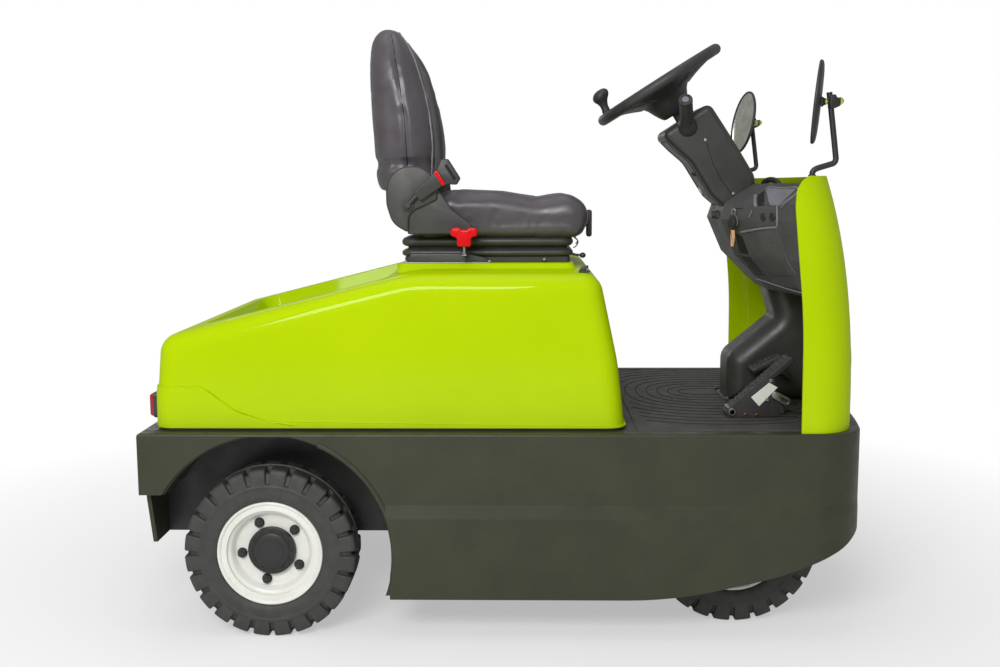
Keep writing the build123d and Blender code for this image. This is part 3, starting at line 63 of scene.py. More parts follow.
def make_camera():
    """The photograph's view: forward, right and up are worked out from the three angles."""
    forward = Vector((
        sin(CAMERA_YAW) * cos(CAMERA_PITCH),
        cos(CAMERA_YAW) * cos(CAMERA_PITCH),
        -sin(CAMERA_PITCH),
    ))
    level = Vector((cos(CAMERA_YAW), -sin(CAMERA_YAW), 0))
    square = level.cross(forward)
    right = cos(CAMERA_ROLL) * level + sin(CAMERA_ROLL) * square
    up = -sin(CAMERA_ROLL) * level + cos(CAMERA_ROLL) * square
    data = bpy.data.cameras.new("camera")
    data.lens = CAMERA_LENS
    data.sensor_width = SENSOR_WIDTH
    data.clip_start, data.clip_end = NEAR_LIMIT, FAR_LIMIT
    camera = bpy.data.objects.new("camera", data)
    turn = Matrix((right, up, -forward)).transposed()
    camera.matrix_world = Matrix.Translation(CAMERA_PLACE) @ turn.to_4x4()
    bpy.context.scene.collection.objects.link(camera)
    bpy.context.scene.camera = camera


make_camera()


# Materials

def srgb(red, green, blue):
    """A colour as written from 0 to 255, turned to the linear numbers that shaders take."""
    def linear(value):
        value /= 255
        return value / 12.92 if value <= 0.04045 else ((value + 0.055) / 1.055) ** 2.4
    return (linear(red), linear(green), linear(blue), 1)


def node(tree, kind, **inputs):
    """Adds a node and sets the inputs that are named, with spaces written as underscores."""
    made = tree.nodes.new(kind)
    for name, value in inputs.items():
        made.inputs[name.replace("_", " ")].default_value = value
    return made


def wire(tree, source, target, socket, output=0):
    """Links a node's output, the first unless another is named, to an input of the next."""
    tree.links.new(source.outputs[output], target.inputs[socket])


def paint(name, low, high, rough, scale, bump, bump_scale, depth, metal=0, coat=0,
          coat_rough=0.05, specular=0.5, rough_spread=0.08):
    """A finish whose colour drifts from low to high, with its own roughness spread and surface grain."""
    made = bpy.data.materials.new(name)
    made.use_nodes = True
    tree = made.node_tree
    shader = tree.nodes["Principled BSDF"]
    for socket, value in (("Metallic", metal), ("Coat Weight", coat), ("Coat Roughness", coat_rough),
                          ("Specular IOR Level", specular)):
        shader.inputs[socket].default_value = value
    place = node(tree, "ShaderNodeTexCoord")
    drift = node(tree, "ShaderNodeTexNoise", Scale=scale, Detail=4, Roughness=0.6)
    wire(tree, place, drift, "Vector", "Object")
    ramp = tree.nodes.new("ShaderNodeValToRGB")
    for element, position, colour in zip(ramp.color_ramp.elements, (0.35, 0.65), (low, high)):
        element.position = position
        element.color = srgb(*colour)
    wire(tree, drift, ramp, "Fac")
    wire(tree, ramp, shader, "Base Color")
    smudge = node(tree, "ShaderNodeTexNoise", Scale=scale * 3.1, Detail=3)
    wire(tree, place, smudge, "Vector", "Object")
    spread = node(tree, "ShaderNodeMapRange", From_Min=0.3, From_Max=0.7,
                  To_Min=max(0.02, rough - rough_spread), To_Max=min(1, rough + rough_spread))
    wire(tree, smudge, spread, "Value")
    wire(tree, spread, shader, "Roughness")
    grain = node(tree, "ShaderNodeTexNoise", Scale=bump_scale, Detail=3, Roughness=0.55)
    wire(tree, place, grain, "Vector", "Object")
    raised = node(tree, "ShaderNodeBump", Strength=bump, Distance=depth / 1000)
    wire(tree, grain, raised, "Height")
    wire(tree, raised, shader, "Normal")
    return made


FINISH_ROWS = {
    # low colour, high colour, roughness, scale of the drift, bump, its scale, its depth in millimetres
    "lime_paint": ((178, 207, 0), (184, 213, 0), 0.26, 2, 0.04, 90, 1),
    "dark_paint": ((50, 53, 36), (56, 59, 42), 0.42, 9, 0.1, 900, 0.3),
    "black_paint": ((34, 34, 34), (42, 42, 41), 0.42, 8, 0.08, 300, 0.5),
    "white_paint": ((226, 226, 218), (238, 238, 232), 0.36, 12, 0.05, 200, 0.5),
    "tyre_rubber": ((54, 54, 52), (64, 64, 61), 0.60, 30, 0.25, 900, 0.6),
    "mat_rubber": ((64, 62, 62), (76, 74, 74), 0.62, 14, 0.2, 800, 0.6),
    "seat_vinyl": ((74, 69, 74), (82, 77, 82), 0.34, 10, 0.12, 700, 0.4),
    "black_plastic": ((50, 49, 48), (58, 57, 55), 0.42, 10, 0.2, 1100, 0.4),
    "dash_plastic": ((74, 74, 74), (84, 84, 84), 0.55, 10, 0.25, 1000, 0.4),
    "red_plastic": ((214, 0, 8), (226, 4, 14), 0.24, 20, 0.05, 400, 0.4),
    "steel": ((150, 150, 148), (176, 176, 174), 0.34, 40, 0.1, 500, 0.3),
    "cast_black": ((38, 38, 37), (48, 48, 46), 0.62, 25, 0.45, 420, 0.8),
    "lamp_lens": ((150, 8, 14), (170, 12, 18), 0.16, 30, 0.1, 160, 1),
    "lamp_clear": ((196, 200, 204), (214, 218, 222), 0.12, 30, 0.1, 160, 1),
    "seat_plastic": ((56, 55, 54), (66, 65, 64), 0.42, 10, 0.2, 1000, 0.3),
    # the piping's light grey is a painted highlight along the back's front edge, on real piping
    "seat_piping": ((116, 114, 116), (128, 126, 128), 0.5, 30, 0.2, 900, 0.3),
    "bellows_rubber": ((56, 54, 53), (66, 64, 62), 0.4, 14, 0.15, 900, 0.3),
    # painted shade: near-black for the gaps of seams and creases, for slots and for the mat's grooves
    "dark_void": ((12, 12, 12), (18, 18, 18), 0.8, 30, 0.1, 400, 0.3),
    "wheel_rubber": ((48, 48, 48), (58, 58, 58), 0.48, 14, 0.1, 700, 0.3),
    "pedal_rubber": ((44, 42, 43), (54, 52, 53), 0.55, 20, 0.2, 900, 0.4),
    # grey plastic for the stalk's button and the dash pocket, and a painted highlight on the dash's edge
    # beads
    "grey_plastic": ((120, 118, 126), (132, 130, 138), 0.45, 20, 0.1, 900, 0.3),
    "copper": ((196, 130, 84), (214, 150, 100), 0.35, 60, 0.1, 400, 0.2),
    "zinc_yellow": ((196, 196, 96), (216, 214, 120), 0.35, 60, 0.1, 400, 0.2),
    "mirror_glass": ((176, 178, 166), (198, 200, 188), 0.16, 40, 0.05, 60, 0.2),
    # painted shade: near-black for the dash's recesses and the hump behind the column head
    "dark_plastic": ((26, 26, 25), (34, 34, 32), 0.5, 20, 0.15, 900, 0.3),
    "tag_tan": ((206, 160, 116), (222, 178, 136), 0.5, 60, 0.1, 400, 0.2),
    "mirror_head": ((40, 40, 42), (50, 50, 52), 0.45, 20, 0.1, 500, 0.4),
}
# what some finishes have besides: metal, clear coat, mirror shine
FINISH_EXTRAS = {
    "lime_paint": {"coat": 0.25, "coat_rough": 0.04, "specular": 0, "rough_spread": 0.03},
    "dark_paint": {"specular": 0.4},
    "white_paint": {"coat": 0.2},
    "red_plastic": {"coat": 0.1, "specular": 0.25},
    "steel": {"metal": 1},
    "lamp_lens": {"coat": 0.5},
    "lamp_clear": {"coat": 0.5},
    "copper": {"metal": 1},
    "zinc_yellow": {"metal": 0.8},
    "mirror_glass": {"metal": 0.85},
}
FINISHES = {name: paint(name, *row, **FINISH_EXTRAS.get(name, {})) for name, row in FINISH_ROWS.items()}

for made in NODES.values():
    for place, material in enumerate(made.data.materials):
        slot_name = material.name.split(".")[0]
        if slot_name in FINISHES:
            made.material_slots[place].material = FINISHES[slot_name]


# Making pieces

REARWARD = Vector((-1, 0, 0))
FORWARD = Vector((1, 0, 0))
TO_LEFT = Vector((0, 1, 0))
TO_RIGHT = Vector((0, -1, 0))
DOWN = Vector((0, 0, -1))


def at(station, y, z):
    """A point from the CAD source's millimetres: station forward from the rear axle, side, height."""
    return Vector(((station - ORIGIN_STATION) / 1000, y / 1000, z / 1000))


def node_box(name):
    """A CAD node's box in the same millimetres: stations, sides and heights, each low and high."""
    low, high = (corner * 1000 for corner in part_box(name))
    return (low.x + ORIGIN_STATION, high.x + ORIGIN_STATION), (low.y, high.y), (low.z, high.z)


def oblong(u_low, u_high, v_low, v_high, radius):
    """Box outline of (u, v, corner radius)."""
    corners = (u_low, v_low), (u_high, v_low), (u_high, v_high), (u_low, v_high)
    return [(u, v, radius) for u, v in corners]


def turns(count):
    """A full turn cut into count angles."""
    return [tau * k / count for k in range(count)]


def finish_piece(name, mesh, finish, body="root", sharp=35):
    """Makes the mesh a smooth-shaded piece with its finish, riding on a body."""
    mesh.name = name
    mesh.materials.append(FINISHES[finish])
    mesh.polygons.foreach_set("use_smooth", [True] * len(mesh.polygons))
    mesh.set_sharp_from_angle(angle=radians(sharp))
    piece = bpy.data.objects.new(name, mesh)
    bpy.context.scene.collection.objects.link(piece)
    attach(piece, body)
    return piece


def grid_mesh(rows, wrap_rows=False, wrap_columns=False):
    """Mesh through rows of points, each row as long as the next."""
    count, width = len(rows), len(rows[0])
    faces = []
    for r in range(count if wrap_rows else count - 1):
        for c in range(width if wrap_columns else width - 1):
            low, high = r * width, (r + 1) % count * width
            ahead = (c + 1) % width
            faces.append((low + c, low + ahead, high + ahead, high + c))
    mesh = bpy.data.meshes.new("grid")
    mesh.from_pydata([p for row in rows for p in row], [], faces)
    return mesh


def face_outwards(mesh):
    """Turns the mesh's faces so that all of them look out."""
    shape = bmesh.new()
    shape.from_mesh(mesh)
    bmesh.ops.recalc_face_normals(shape, faces=shape.faces)
    shape.to_mesh(mesh)
    shape.free()
    return mesh


def lathe(profile, segments=96):
    """Closed ring from rows of (radius, outboard offset) in millimetres, round the Y axis, outboard at +Y."""
    rows = [[Vector((r * sin(turn), a, r * cos(turn))) / 1000 for r, a in profile]
            for turn in turns(segments)]
    return grid_mesh(rows, wrap_rows=True, wrap_columns=True)


def placed(mesh, centre, side):
    """Moves a wheel-side mesh to its hub centre and mirrors it for the right side."""
    mesh.transform(Matrix.Translation(centre) @ Matrix.Diagonal((1, side, 1, 1)))
    return face_outwards(mesh)


def joined(meshes):
    """One mesh from several, with material index 0."""
    shape = bmesh.new()
    for mesh in meshes:
        shape.from_mesh(mesh)
        bpy.data.meshes.remove(mesh)
    mesh = bpy.data.meshes.new("joined")
    shape.to_mesh(mesh)
    shape.free()
    return mesh


def rounded(corners, steps=7):
    """Outline through rows of (u, v, corner radius), each corner's arc cut into steps."""
    places = [Vector((u, v)) for u, v, _ in corners]
    points = []
    for index, (_, _, radius) in enumerate(corners):
        here = places[index]
        if not radius:
            points.append(here)
            continue
        back = (places[index - 1] - here).normalized()
        ahead = (places[(index + 1) % len(places)] - here).normalized()
        half_turn = back.angle(ahead) / 2
        spoke = here + back * radius / tan(half_turn)
        centre = here + (back + ahead).normalized() * radius / sin(half_turn)
        spoke -= centre
        sweep = copysign(pi - 2 * half_turn, ahead.cross(back))
        for step in range(steps + 1):
            turn = sweep * step / steps
            points.append(centre + Vector((
                spoke.x * cos(turn) - spoke.y * sin(turn),
                spoke.x * sin(turn) + spoke.y * cos(turn),
            )))
    return points


def shrunk(points, amount):
    """The outline moved inwards by amount, point by point."""
    area = sum(points[i - 1].cross(points[i]) for i in range(len(points)))
    way = copysign(amount, area)
    moved = []
    for index, here in enumerate(points):
        along = (points[(index + 1) % len(points)] - points[index - 1]).normalized()
        moved.append(here + Vector((-along.y, along.x)) * way)
    return moved


def edge_rows(low, high, edge, steps):
    """Rows of (offset across, inset) that round both rims of a slab."""
    half = [(edge * (1 - cos(a)), edge * (1 - sin(a)))
            for a in (pi / 2 * step / steps for step in range(steps + 1))]
    return [(low + across, inset) for across, inset in half] + [
        (high - across, inset) for across, inset in reversed(half)]


def skin(rows):
    """Closed skin over rings of points, with a face on the first and the last."""
    mesh = grid_mesh(rows, wrap_columns=True)
    shape = bmesh.new()
    shape.from_mesh(mesh)
    shape.verts.ensure_lookup_table()
    width = len(rows[0])
    shape.faces.new(shape.verts[:width])
    shape.faces.new(shape.verts[-width:])
    bmesh.ops.recalc_face_normals(shape, faces=shape.faces)
    shape.to_mesh(mesh)
    shape.free()
    return mesh


def slab(corners, y_low, y_high, edge=2, steps=3, foot=(0, 0)):
    """Side-view outline of (station, height, corner radius) made solid from y_low to y_high, rims rounded."""
    points = rounded([(u + foot[0], v + foot[1], r) for u, v, r in corners])
    return skin([[at(p.x, y, p.y) for p in shrunk(points, inset)]
                 for y, inset in edge_rows(y_low, y_high, edge, steps)])


def plan_stack(corners, rows):
    """Plan outline of (station, side, corner radius) stacked through rows of (height, inset)."""
    points = rounded(corners)
    return skin([[at(p.x, p.y, z) for p in shrunk(points, inset)] for z, inset in rows])


def spline(points, steps=8, closed=False):
    """Smooth line through points."""
    count = len(points)
    line = []
    for index in range(count if closed else count - 1):
        p = [points[(index + k) % count] if closed else points[max(0, min(count - 1, index + k))]
             for k in (-1, 0, 1, 2)]
        for step in range(steps):
            t = step / steps
            square = 2 * p[0] - 5 * p[1] + 4 * p[2] - p[3]
            cube = 3 * p[1] - p[0] - 3 * p[2] + p[3]
            line.append(0.5 * (2 * p[1] + (p[2] - p[0]) * t + square * t * t + cube * t ** 3))
    return line if closed else line + [points[-1].copy()]


def tube(points, radius, sides=12, closed=False):
    """Round rod along points in metres; radius is in millimetres, or one for each point."""
    rings, normal, count = [], None, len(points)
    for index, here in enumerate(points):
        before = points[index - 1] if closed or index else here
        after = points[(index + 1) % count] if closed or index + 1 < count else here
        along = (after - before).normalized()
        normal = along.orthogonal() if normal is None else normal - along * normal.dot(along)
        normal.normalize()
        across = along.cross(normal)
        reach = (radius if isinstance(radius, (int, float)) else radius[index]) / 1000
        rings.append([here + (normal * cos(t) + across * sin(t)) * reach for t in turns(sides)])
    if closed:
        return face_outwards(grid_mesh(rings, wrap_rows=True, wrap_columns=True))
    return skin(rings)


def bent(points, radius, steps=6, sides=8):
    """Round rod bent smoothly through points in the CAD's millimetres."""
    return tube(spline([at(*point) for point in points], steps), radius, sides)


def turned_rod(start, finish, profile, sides=24):
    """Turned piece from start towards finish, from rows of (distance along, radius) in millimetres."""
    along = (finish - start).normalized()
    return tube([start + along * d / 1000 for d, _ in profile], [r for _, r in profile], sides)


def mirrored(mesh):
    """Copy of a mesh on the other side of the tug."""
    copy = mesh.copy()
    copy.transform(Matrix.Diagonal((1, -1, 1, 1)))
    copy.flip_normals()
    return copy


def both_sides(*meshes):
    """One mesh of all these and of their copies on the other side of the tug."""
    mesh = joined(meshes)
    return joined([mesh, mirrored(mesh)])


def screw(place, out, radius=4, height=2.5):
    """Domed screw head with a dimple, standing on a surface that faces out."""
    out = out.normalized()
    rows = [(-1, radius), (height * 0.3, radius), (height * 0.75, radius * 0.82), (height, radius * 0.5),
            (height * 0.55, radius * 0.32), (height * 0.5, 0.05)]
    return turned_rod(place, place + out, rows, 14)


def side_screws(rows):
    """Screw heads on the right side, from rows of (station, side, height, radius, thickness)."""
    return [screw(at(x, y, z), TO_RIGHT, radius, height) for x, y, z, radius, height in rows]


# Wheels: tyres with their shoulder lugs, pressed rims, hub caps and nuts

LUG_COUNT = 24
LUG_SLOT_TURN = 3.8
LUG_WALL_TURN = 0.45
CROWN_HALF_WIDTH = 13
BEAD_RADIUS, BEAD_HALF_WIDTH = 103, 42.6
# half of the tyre's profile from the bead up to the crown: radius, outboard offset, depth of the slots there
TYRE_PROFILE = [
    (123.4, 43.2, 0), (124.6, 47.6, 0), (128, 50.2, 0), (131, 50.6, 0), (132.2, 51.4, 0),
    (140, 52, 0), (150, 52.2, 0), (156.6, 51.8, 0), (157.6, 52.5, 0), (160.4, 52.5, 0),
    (161.6, 51.5, 0), (164.6, 51.2, 0), (166.2, 51.1, 5), (176, 50.9, 7.5), (186, 49.9, 9.5),
    (193.6, 48, 11), (198.4, 45.2, 12), (199.8, 41.8, 12), (200, 30, 12.5), (200, 15, 12.5),
    (200, 13, 0), (200, 7, 0), (197, 5.6, 0), (197, 2, 0),
]


def tyre_columns():
    """Turns within one lug pitch, from -0.5 to 0.5, each with how much of the slot's depth it takes."""
    pitch = 360 / LUG_COUNT
    half, wall = LUG_SLOT_TURN / 2 / pitch, LUG_WALL_TURN / pitch
    slot = [(-half - wall, 0.03), (-half, 0.16), (-half + wall, 1), (half - wall, 1), (half, 0.16),
            (half + wall, 0.03)]
    land = [(-0.5, 0), (-0.4, 0), (-0.3, 0), (-0.2, 0)]
    return land + slot + [(0.2, 0), (0.3, 0), (0.4, 0)]


def tyre_mesh():
    """Tyre whose two rows of lugs stand half a pitch apart, their slots cut in from the shoulders."""
    full = TYRE_PROFILE + [(r, -a, depth) for r, a, depth in reversed(TYRE_PROFILE)]
    full += [(BEAD_RADIUS, -BEAD_HALF_WIDTH, 0), (BEAD_RADIUS, BEAD_HALF_WIDTH, 0)]
    rows = []
    for lug in range(LUG_COUNT):
        for turn, share in tyre_columns():
            row = []
            for index, (r, a, depth) in enumerate(full):
                before, after = full[index - 1], full[(index + 1) % len(full)]
                phase = 0.25 - 0.25 * max(-1, min(1, a / CROWN_HALF_WIDTH))
                along = Vector((after[0] - before[0], after[1] - before[1])).normalized()
                inward = Vector((-abs(along.y), -copysign(abs(along.x), a)))
                r, a = r + inward.x * depth * share, a + inward.y * depth * share
                angle = tau * (lug + turn + phase) / LUG_COUNT
                row.append(Vector((r * sin(angle), a, r * cos(angle))) / 1000)
            rows.append(row)
    return grid_mesh(rows, wrap_rows=True, wrap_columns=True)


RIM_PROFILE = [
    # radius, outboard offset
    (102, 43), (102, -43), (123, -43), (123, -47), (121.5, -48), (118, -48),
    (112, -44), (96, -40), (95, 4), (90, 8), (46, 8), (46, 14), (83, 14),
    (86, 15.4), (88.6, 19), (93, 29.5), (95, 31.8), (99, 33.4), (104, 34.4), (107, 35.4),
    (111, 38), (115, 44.6), (117.2, 47.4), (119.4, 48), (121.6, 47.8), (123, 46.4), (123, 43),
]
CAP_PROFILE = [
    (20.1, -50), (40, -50), (40, -4.5), (81, -2.5), (81, 7.7), (45.6, 7.7), (45.6, 14.3),
    (56, 14.3), (56, 24), (55, 26.4), (52.4, 27.2), (50.4, 27.2), (49.8, 26.4), (44, 26.4),
    (42.4, 28.6), (39, 30.2), (30, 31), (28.6, 32.3), (0.5, 32.3), (0.5, 4), (20.1, 4),
]
NUT_COUNT = 5
NUT_TURN = -24
CAP_SCREW_COUNT = 12
# circle, seat, width across flats, height, stud radius, stud height
NUT_SIZES = (71.5, 14.3, 19, 10, 6, 13)
CAP_SCREW_SIZES = (47, 26.4, 5, 3, 1.2, 3.2)


def hex_nut(across, height, stud_radius, stud_height):
    """Nut on its washer with the stud's end, outboard at +Y from 0."""
    key = across / 2
    corner = key / cos(pi / 6)
    rounds = [(key + 2.4, 0, 24), (key + 2.4, 1.6, 24), (corner, 1.6, 6), (corner, height - 1.2, 6),
              (key - 0.6, height, 24), (stud_radius, height, 24), (stud_radius, stud_height - 1, 24),
              (stud_radius - 1, stud_height, 24), (0.01, stud_height, 24)]
    rows = []
    for radius, offset, sides in rounds:
        row = []
        for turn in turns(24):
            reach = radius
            if sides == 6:
                local = (turn + pi / 6) % (pi / 3) - pi / 6
                reach = radius * cos(pi / 6) / cos(local)
            row.append(Vector((reach * sin(turn), offset, reach * cos(turn))) / 1000)
        rows.append(row)
    return grid_mesh(rows, wrap_columns=True)


def moved_nut(sizes, place, turn):
    """A nut of these sizes, turned and then moved to its place."""
    nut = hex_nut(*sizes)
    nut.transform(Matrix.Translation(place) @ turn)
    return nut


def nuts_mesh(count, circle, seat, *sizes):
    """Ring of nuts on a circle, seated at an offset outboard."""
    nuts = []
    for turn in turns(count):
        nut = hex_nut(*sizes)
        reach = Matrix.Translation((0, seat / 1000, circle / 1000))
        nut.transform(Matrix.Rotation(turn, 4, "Y") @ reach)
        nuts.append(nut)
    return joined(nuts)


def make_wheels():
    """Four wheels, each on its own body and turned to face outboard."""
    for end in ("rear", "front"):
        for side_name, side in (("left", 1), ("right", -1)):
            wheel = f"{end}_{side_name}"
            low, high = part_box(f"{wheel}_tyre")
            centre = (low + high) / 2
            nuts = nuts_mesh(NUT_COUNT, *NUT_SIZES)
            nuts.transform(Matrix.Rotation(radians(NUT_TURN), 4, "Y"))
            screws = nuts_mesh(CAP_SCREW_COUNT, *CAP_SCREW_SIZES)
            for name, mesh, finish, sharp, node_name in (
                ("tyre_tread", tyre_mesh(), "tyre_rubber", 40, "tyre"),
                ("rim_pressing", lathe(RIM_PROFILE), "white_paint", 50, "rim"),
                ("hub_cap", lathe(CAP_PROFILE), "black_paint", 30, "hub"),
                ("wheel_nuts", nuts, "cast_black", 30, None),
                ("cap_screws", screws, "cast_black", 30, None),
            ):
                mesh = placed(mesh, centre, side)
                piece = finish_piece(f"{wheel}_{name}", mesh, finish, f"wheel_{wheel}", sharp)
                if node_name:
                    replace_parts(piece, f"{wheel}_{node_name}")


make_wheels()


# Seat: cushion and back swelled by cloth, covers, boot, buckle and knobs

SEAT = (500, 858.3)
SEAT_SIDE = 240
VOXEL = 0.006
STUFFING_PRESSURE, STUFFING_FRAMES = 4, 20
CUSHION_OUTLINE = [
    # station and height from the seat's foot, corner radius
    (-188, 40, 10), (234, 40, 26), (259, 108, 34), (247, 145, 30), (205, 162, 60), (125, 152, 90),
    (30, 166, 120), (-92, 171, 40), (-160, 146, 40), (-188, 116, 12),
]
CUSHION_FOOT_Z = 923
# how far stuffing may move a cover, and the dish of the cushion's middle, in metres
CUSHION_CAP, BACK_CAP = 0.008, 0.005
DISH_HALF_WIDTH, DISH_DEPTH = 0.165, 0.012
# where lines start before they are laid on the covers
ABOVE_SEAT, BESIDE_SEAT, BEFORE_SEAT = 1100, -252, 600
CUSHION_SEAM = [(-150, 104, 20), (40, 96, 60), (180, 98, 60), (236, 92, 20)]
# lines between bolster and middle, and the seams across the middle
CUSHION_LINE_SIDE, CUSHION_CROSS_STATIONS = 168, (430, 530, 630)
BACK_LINE_SIDE, BACK_CROSS_HEIGHTS = 128, (1190, 1275, 1350)
# the bolster lines of the back draw together towards this height over this distance
BACK_LINE_PEAK, BACK_LINE_TAPER = 1475, 130
FOOT_GROOVE_CENTRE = (292, 0, 1098)
FOOT_GROOVE_REACH = radians(112)
DISC_OUTLINE = [
    (-241, 234, 59), (-116, 234, 59), (-117, 154, 10), (-186, 122, 30), (-187, 74, 5), (-226, 96, 50),
    (-240, 142, 60),
]
FIN_OUTLINE = [(-190, 71, 4), (-32, 71, 4), (-34, 92, 14), (-80, 128, 40), (-112, 172, 6), (-190, 172, 6)]
# plans of station, side and corner radius, with their rows of height and inset
BOOT_PLAN = oblong(288, 712, -205, 205, 30)
BOOT_ROWS = [
    (872.4, 16), (873.5, 6), (876, 1.6), (881, 0), (886, 1.6), (889.5, 6.5), (891.5, 14), (894, 17),
    (896.5, 14), (898.5, 6.5), (902.5, 1.6), (908, 0), (914, 1.6), (918.5, 6.5), (921.5, 14),
]
BASE_PLAN = oblong(296, 704, -197, 197, 14)
BASE_ROWS = [(858.4, 1), (859.4, 0), (870, 0), (872.2, 2)]
SIDE_PLATE = [(308, 859, 3), (308, 881, 12), (452, 881, 14), (494, 870, 16), (512, 859, 3)]
RAIL_SECTION = [(296, 855.4, 0), (296, 859.4, 1), (508, 859.4, 1), (508, 855.4, 0)]
BUCKLE_SIDE = -262.9
BUCKLE_BOLT = [(0, 15), (4, 15), (5, 14), (5.2, 10), (10, 9.5), (12, 8), (12.1, 4), (9, 3.6), (8.9, 0.1)]
GRIP_OUTLINE = [
    (415, 926, 7), (415, 945, 9), (436, 945, 9), (441, 940, 5), (453, 940, 5), (458, 945, 9),
    (479, 945, 9), (479, 926, 7), (464, 922, 7), (464, 900, 6), (430, 900, 6), (430, 922, 7),
]
LEVER_BALL = [(0, 1), (1.5, 4.4), (5, 6.4), (8, 7), (11, 6.4), (14.5, 4), (16, 0.5)]
FRONT_CLIPS = [
    [(709, -192, 925), (717, -196, 918), (722, -192, 910), (718, -186, 902)],
    [(714, -170, 918), (724, -176, 908), (719, -186, 897), (712, -192, 893)],
]
BACK_ROWS = [
    # height, rear, crease and front stations, half width
    (1032, 234, 312, 352, 222), (1040, 231, 313, 360, 226), (1070, 229, 314, 369, 229),
    (1110, 227, 313, 372, 230), (1150, 224, 312, 373, 231), (1200, 221, 309, 368, 231),
    (1250, 218, 303, 359, 229), (1300, 216, 296, 346, 225), (1345, 215, 287, 332, 215),
    (1374, 216, 282, 319, 203), (1396, 217, 277, 306, 188), (1411, 220, 272, 295, 172),
    (1422, 225, 267, 287, 155), (1430, 232, 262, 279, 136), (1434, 240, 258, 271, 116),
]

# how far before its point a ray starts, in metres
RUN_UP = 0.4


def add_smoothing(piece, name, times):
    """Modifier that evens out a piece's mesh."""
    even = piece.modifiers.new(name, "SMOOTH")
    even.factor, even.iterations = 0.5, times


def baked(piece):
    """A piece's mesh with its modifiers worked in, which are taken off the piece."""
    mesh = bpy.data.meshes.new_from_object(piece.evaluated_get(bpy.context.evaluated_depsgraph_get()))
    piece.modifiers.clear()
    return mesh


def swelled(name, mesh, cap):
    """Stuffed cover: remeshed, blown up by cloth, held to within its cap of the cut form, and evened."""
    scene = bpy.context.scene
    piece = bpy.data.objects.new(name, mesh)
    scene.collection.objects.link(piece)
    remesh = piece.modifiers.new("voxels", "REMESH")
    remesh.mode, remesh.voxel_size = "VOXEL", VOXEL
    add_smoothing(piece, "even", 6)
    cut = baked(piece)
    piece.data = cut
    start = [v.co.copy() for v in cut.vertices]
    cloth = piece.modifiers.new("stuffing", "CLOTH")
    cloth.settings.use_pressure = True
    cloth.settings.uniform_pressure_force = STUFFING_PRESSURE
    cloth.settings.effector_weights.gravity = 0
    for number in range(1, STUFFING_FRAMES + 1):
        scene.frame_set(number)
    blown = piece.evaluated_get(bpy.context.evaluated_depsgraph_get()).data
    ends = [v.co.copy() for v in blown.vertices]
    piece.modifiers.clear()
    scene.frame_set(1)
    for vertex, here, there in zip(cut.vertices, start, ends):
        move = there - here
        vertex.co = here + move * min(1, cap / max(move.length, 1e-9))
    add_smoothing(piece, "taut", 14)
    cut = baked(piece)
    bpy.data.objects.remove(piece)
    cut.name = name
    return cut


def pressed(mesh, path, width, depth):
    """Presses a soft channel of the given half width and depth, in millimetres, along a line on the cover."""
    places = KDTree(len(path))
    for index, place in enumerate(path):
        places.insert(place, index)
    places.balance()
    for vertex in mesh.vertices:
        away = places.find(vertex.co)[2] * 1000
        if away < width:
            share = 0.5 + 0.5 * cos(pi * away / width)
            vertex.co -= vertex.normal * depth / 1000 * share
    mesh.update()


def tree_of(mesh):
    """Search tree over a mesh's faces."""
    return BVHTree.FromPolygons([v.co for v in mesh.vertices], [p.vertices for p in mesh.polygons])


def cast_on(mesh, rays):
    """Where rays, given as (point, direction) and begun RUN_UP before the point, first meet the mesh."""
    tree = tree_of(mesh)
    hits = [tree.ray_cast(point - towards.normalized() * RUN_UP, towards)[0] for point, towards in rays]
    return [hit for hit in hits if hit]


def laid_on(mesh, points, towards):
    """Points moved along towards until they lie on the mesh."""
    return cast_on(mesh, [(point, towards) for point in points])


def back_ring(height, rear, crease, front, half):
    """One level of the back: shell behind, crease down the side, bolster and recessed middle in front."""
    depth = front - rear
    side = [
        (rear, 0), (rear, 0.5), (rear + 2, 0.78), (rear + 10, 0.90), (rear + 26, 0.955),
        (crease - 22, 0.985), (crease - 6, 0.995), (crease + 6, 0.97),
        (crease + 0.42 * (front - crease), 0.945), (front - 12, 0.90), (front - 3, 0.82), (front, 0.72),
        (front - 0.05 * depth, 0.60), (front - 0.15 * depth, 0.46), (front - 0.19 * depth, 0.2),
        (front - 0.20 * depth, 0),
    ]
    loop = side + [(x, -share) for x, share in reversed(side[1:-1])]
    return [at(x, -half * share, height) for x, share in loop]


def seat_piece(name, mesh, finish, sharp=35):
    """A piece of the seat, which is bolted to the hood and swings up with it."""
    return finish_piece(name, mesh, finish, "hood_lid", sharp)


def seat_slab(corners, y_low, y_high, edge):
    """A slab whose outline is measured from the seat's foot."""
    return slab(corners, y_low, y_high, edge, foot=SEAT)


def seat_cover(name, mesh, node_name):
    """A swelled cover evened once more and made fine, standing for a soft CAD solid."""
    piece = seat_piece(name, mesh, "seat_vinyl", sharp=80)
    add_smoothing(piece, "even", 5)
    smooth = piece.modifiers.new("smooth", "SUBSURF")
    smooth.levels = smooth.render_levels = 1
    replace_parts(piece, node_name)


def press_line(mesh, points, towards, width, depth):
    """Presses a channel where the points meet the cover, and gives that line."""
    line = laid_on(mesh, points, towards)
    pressed(mesh, line, width, depth)
    return line


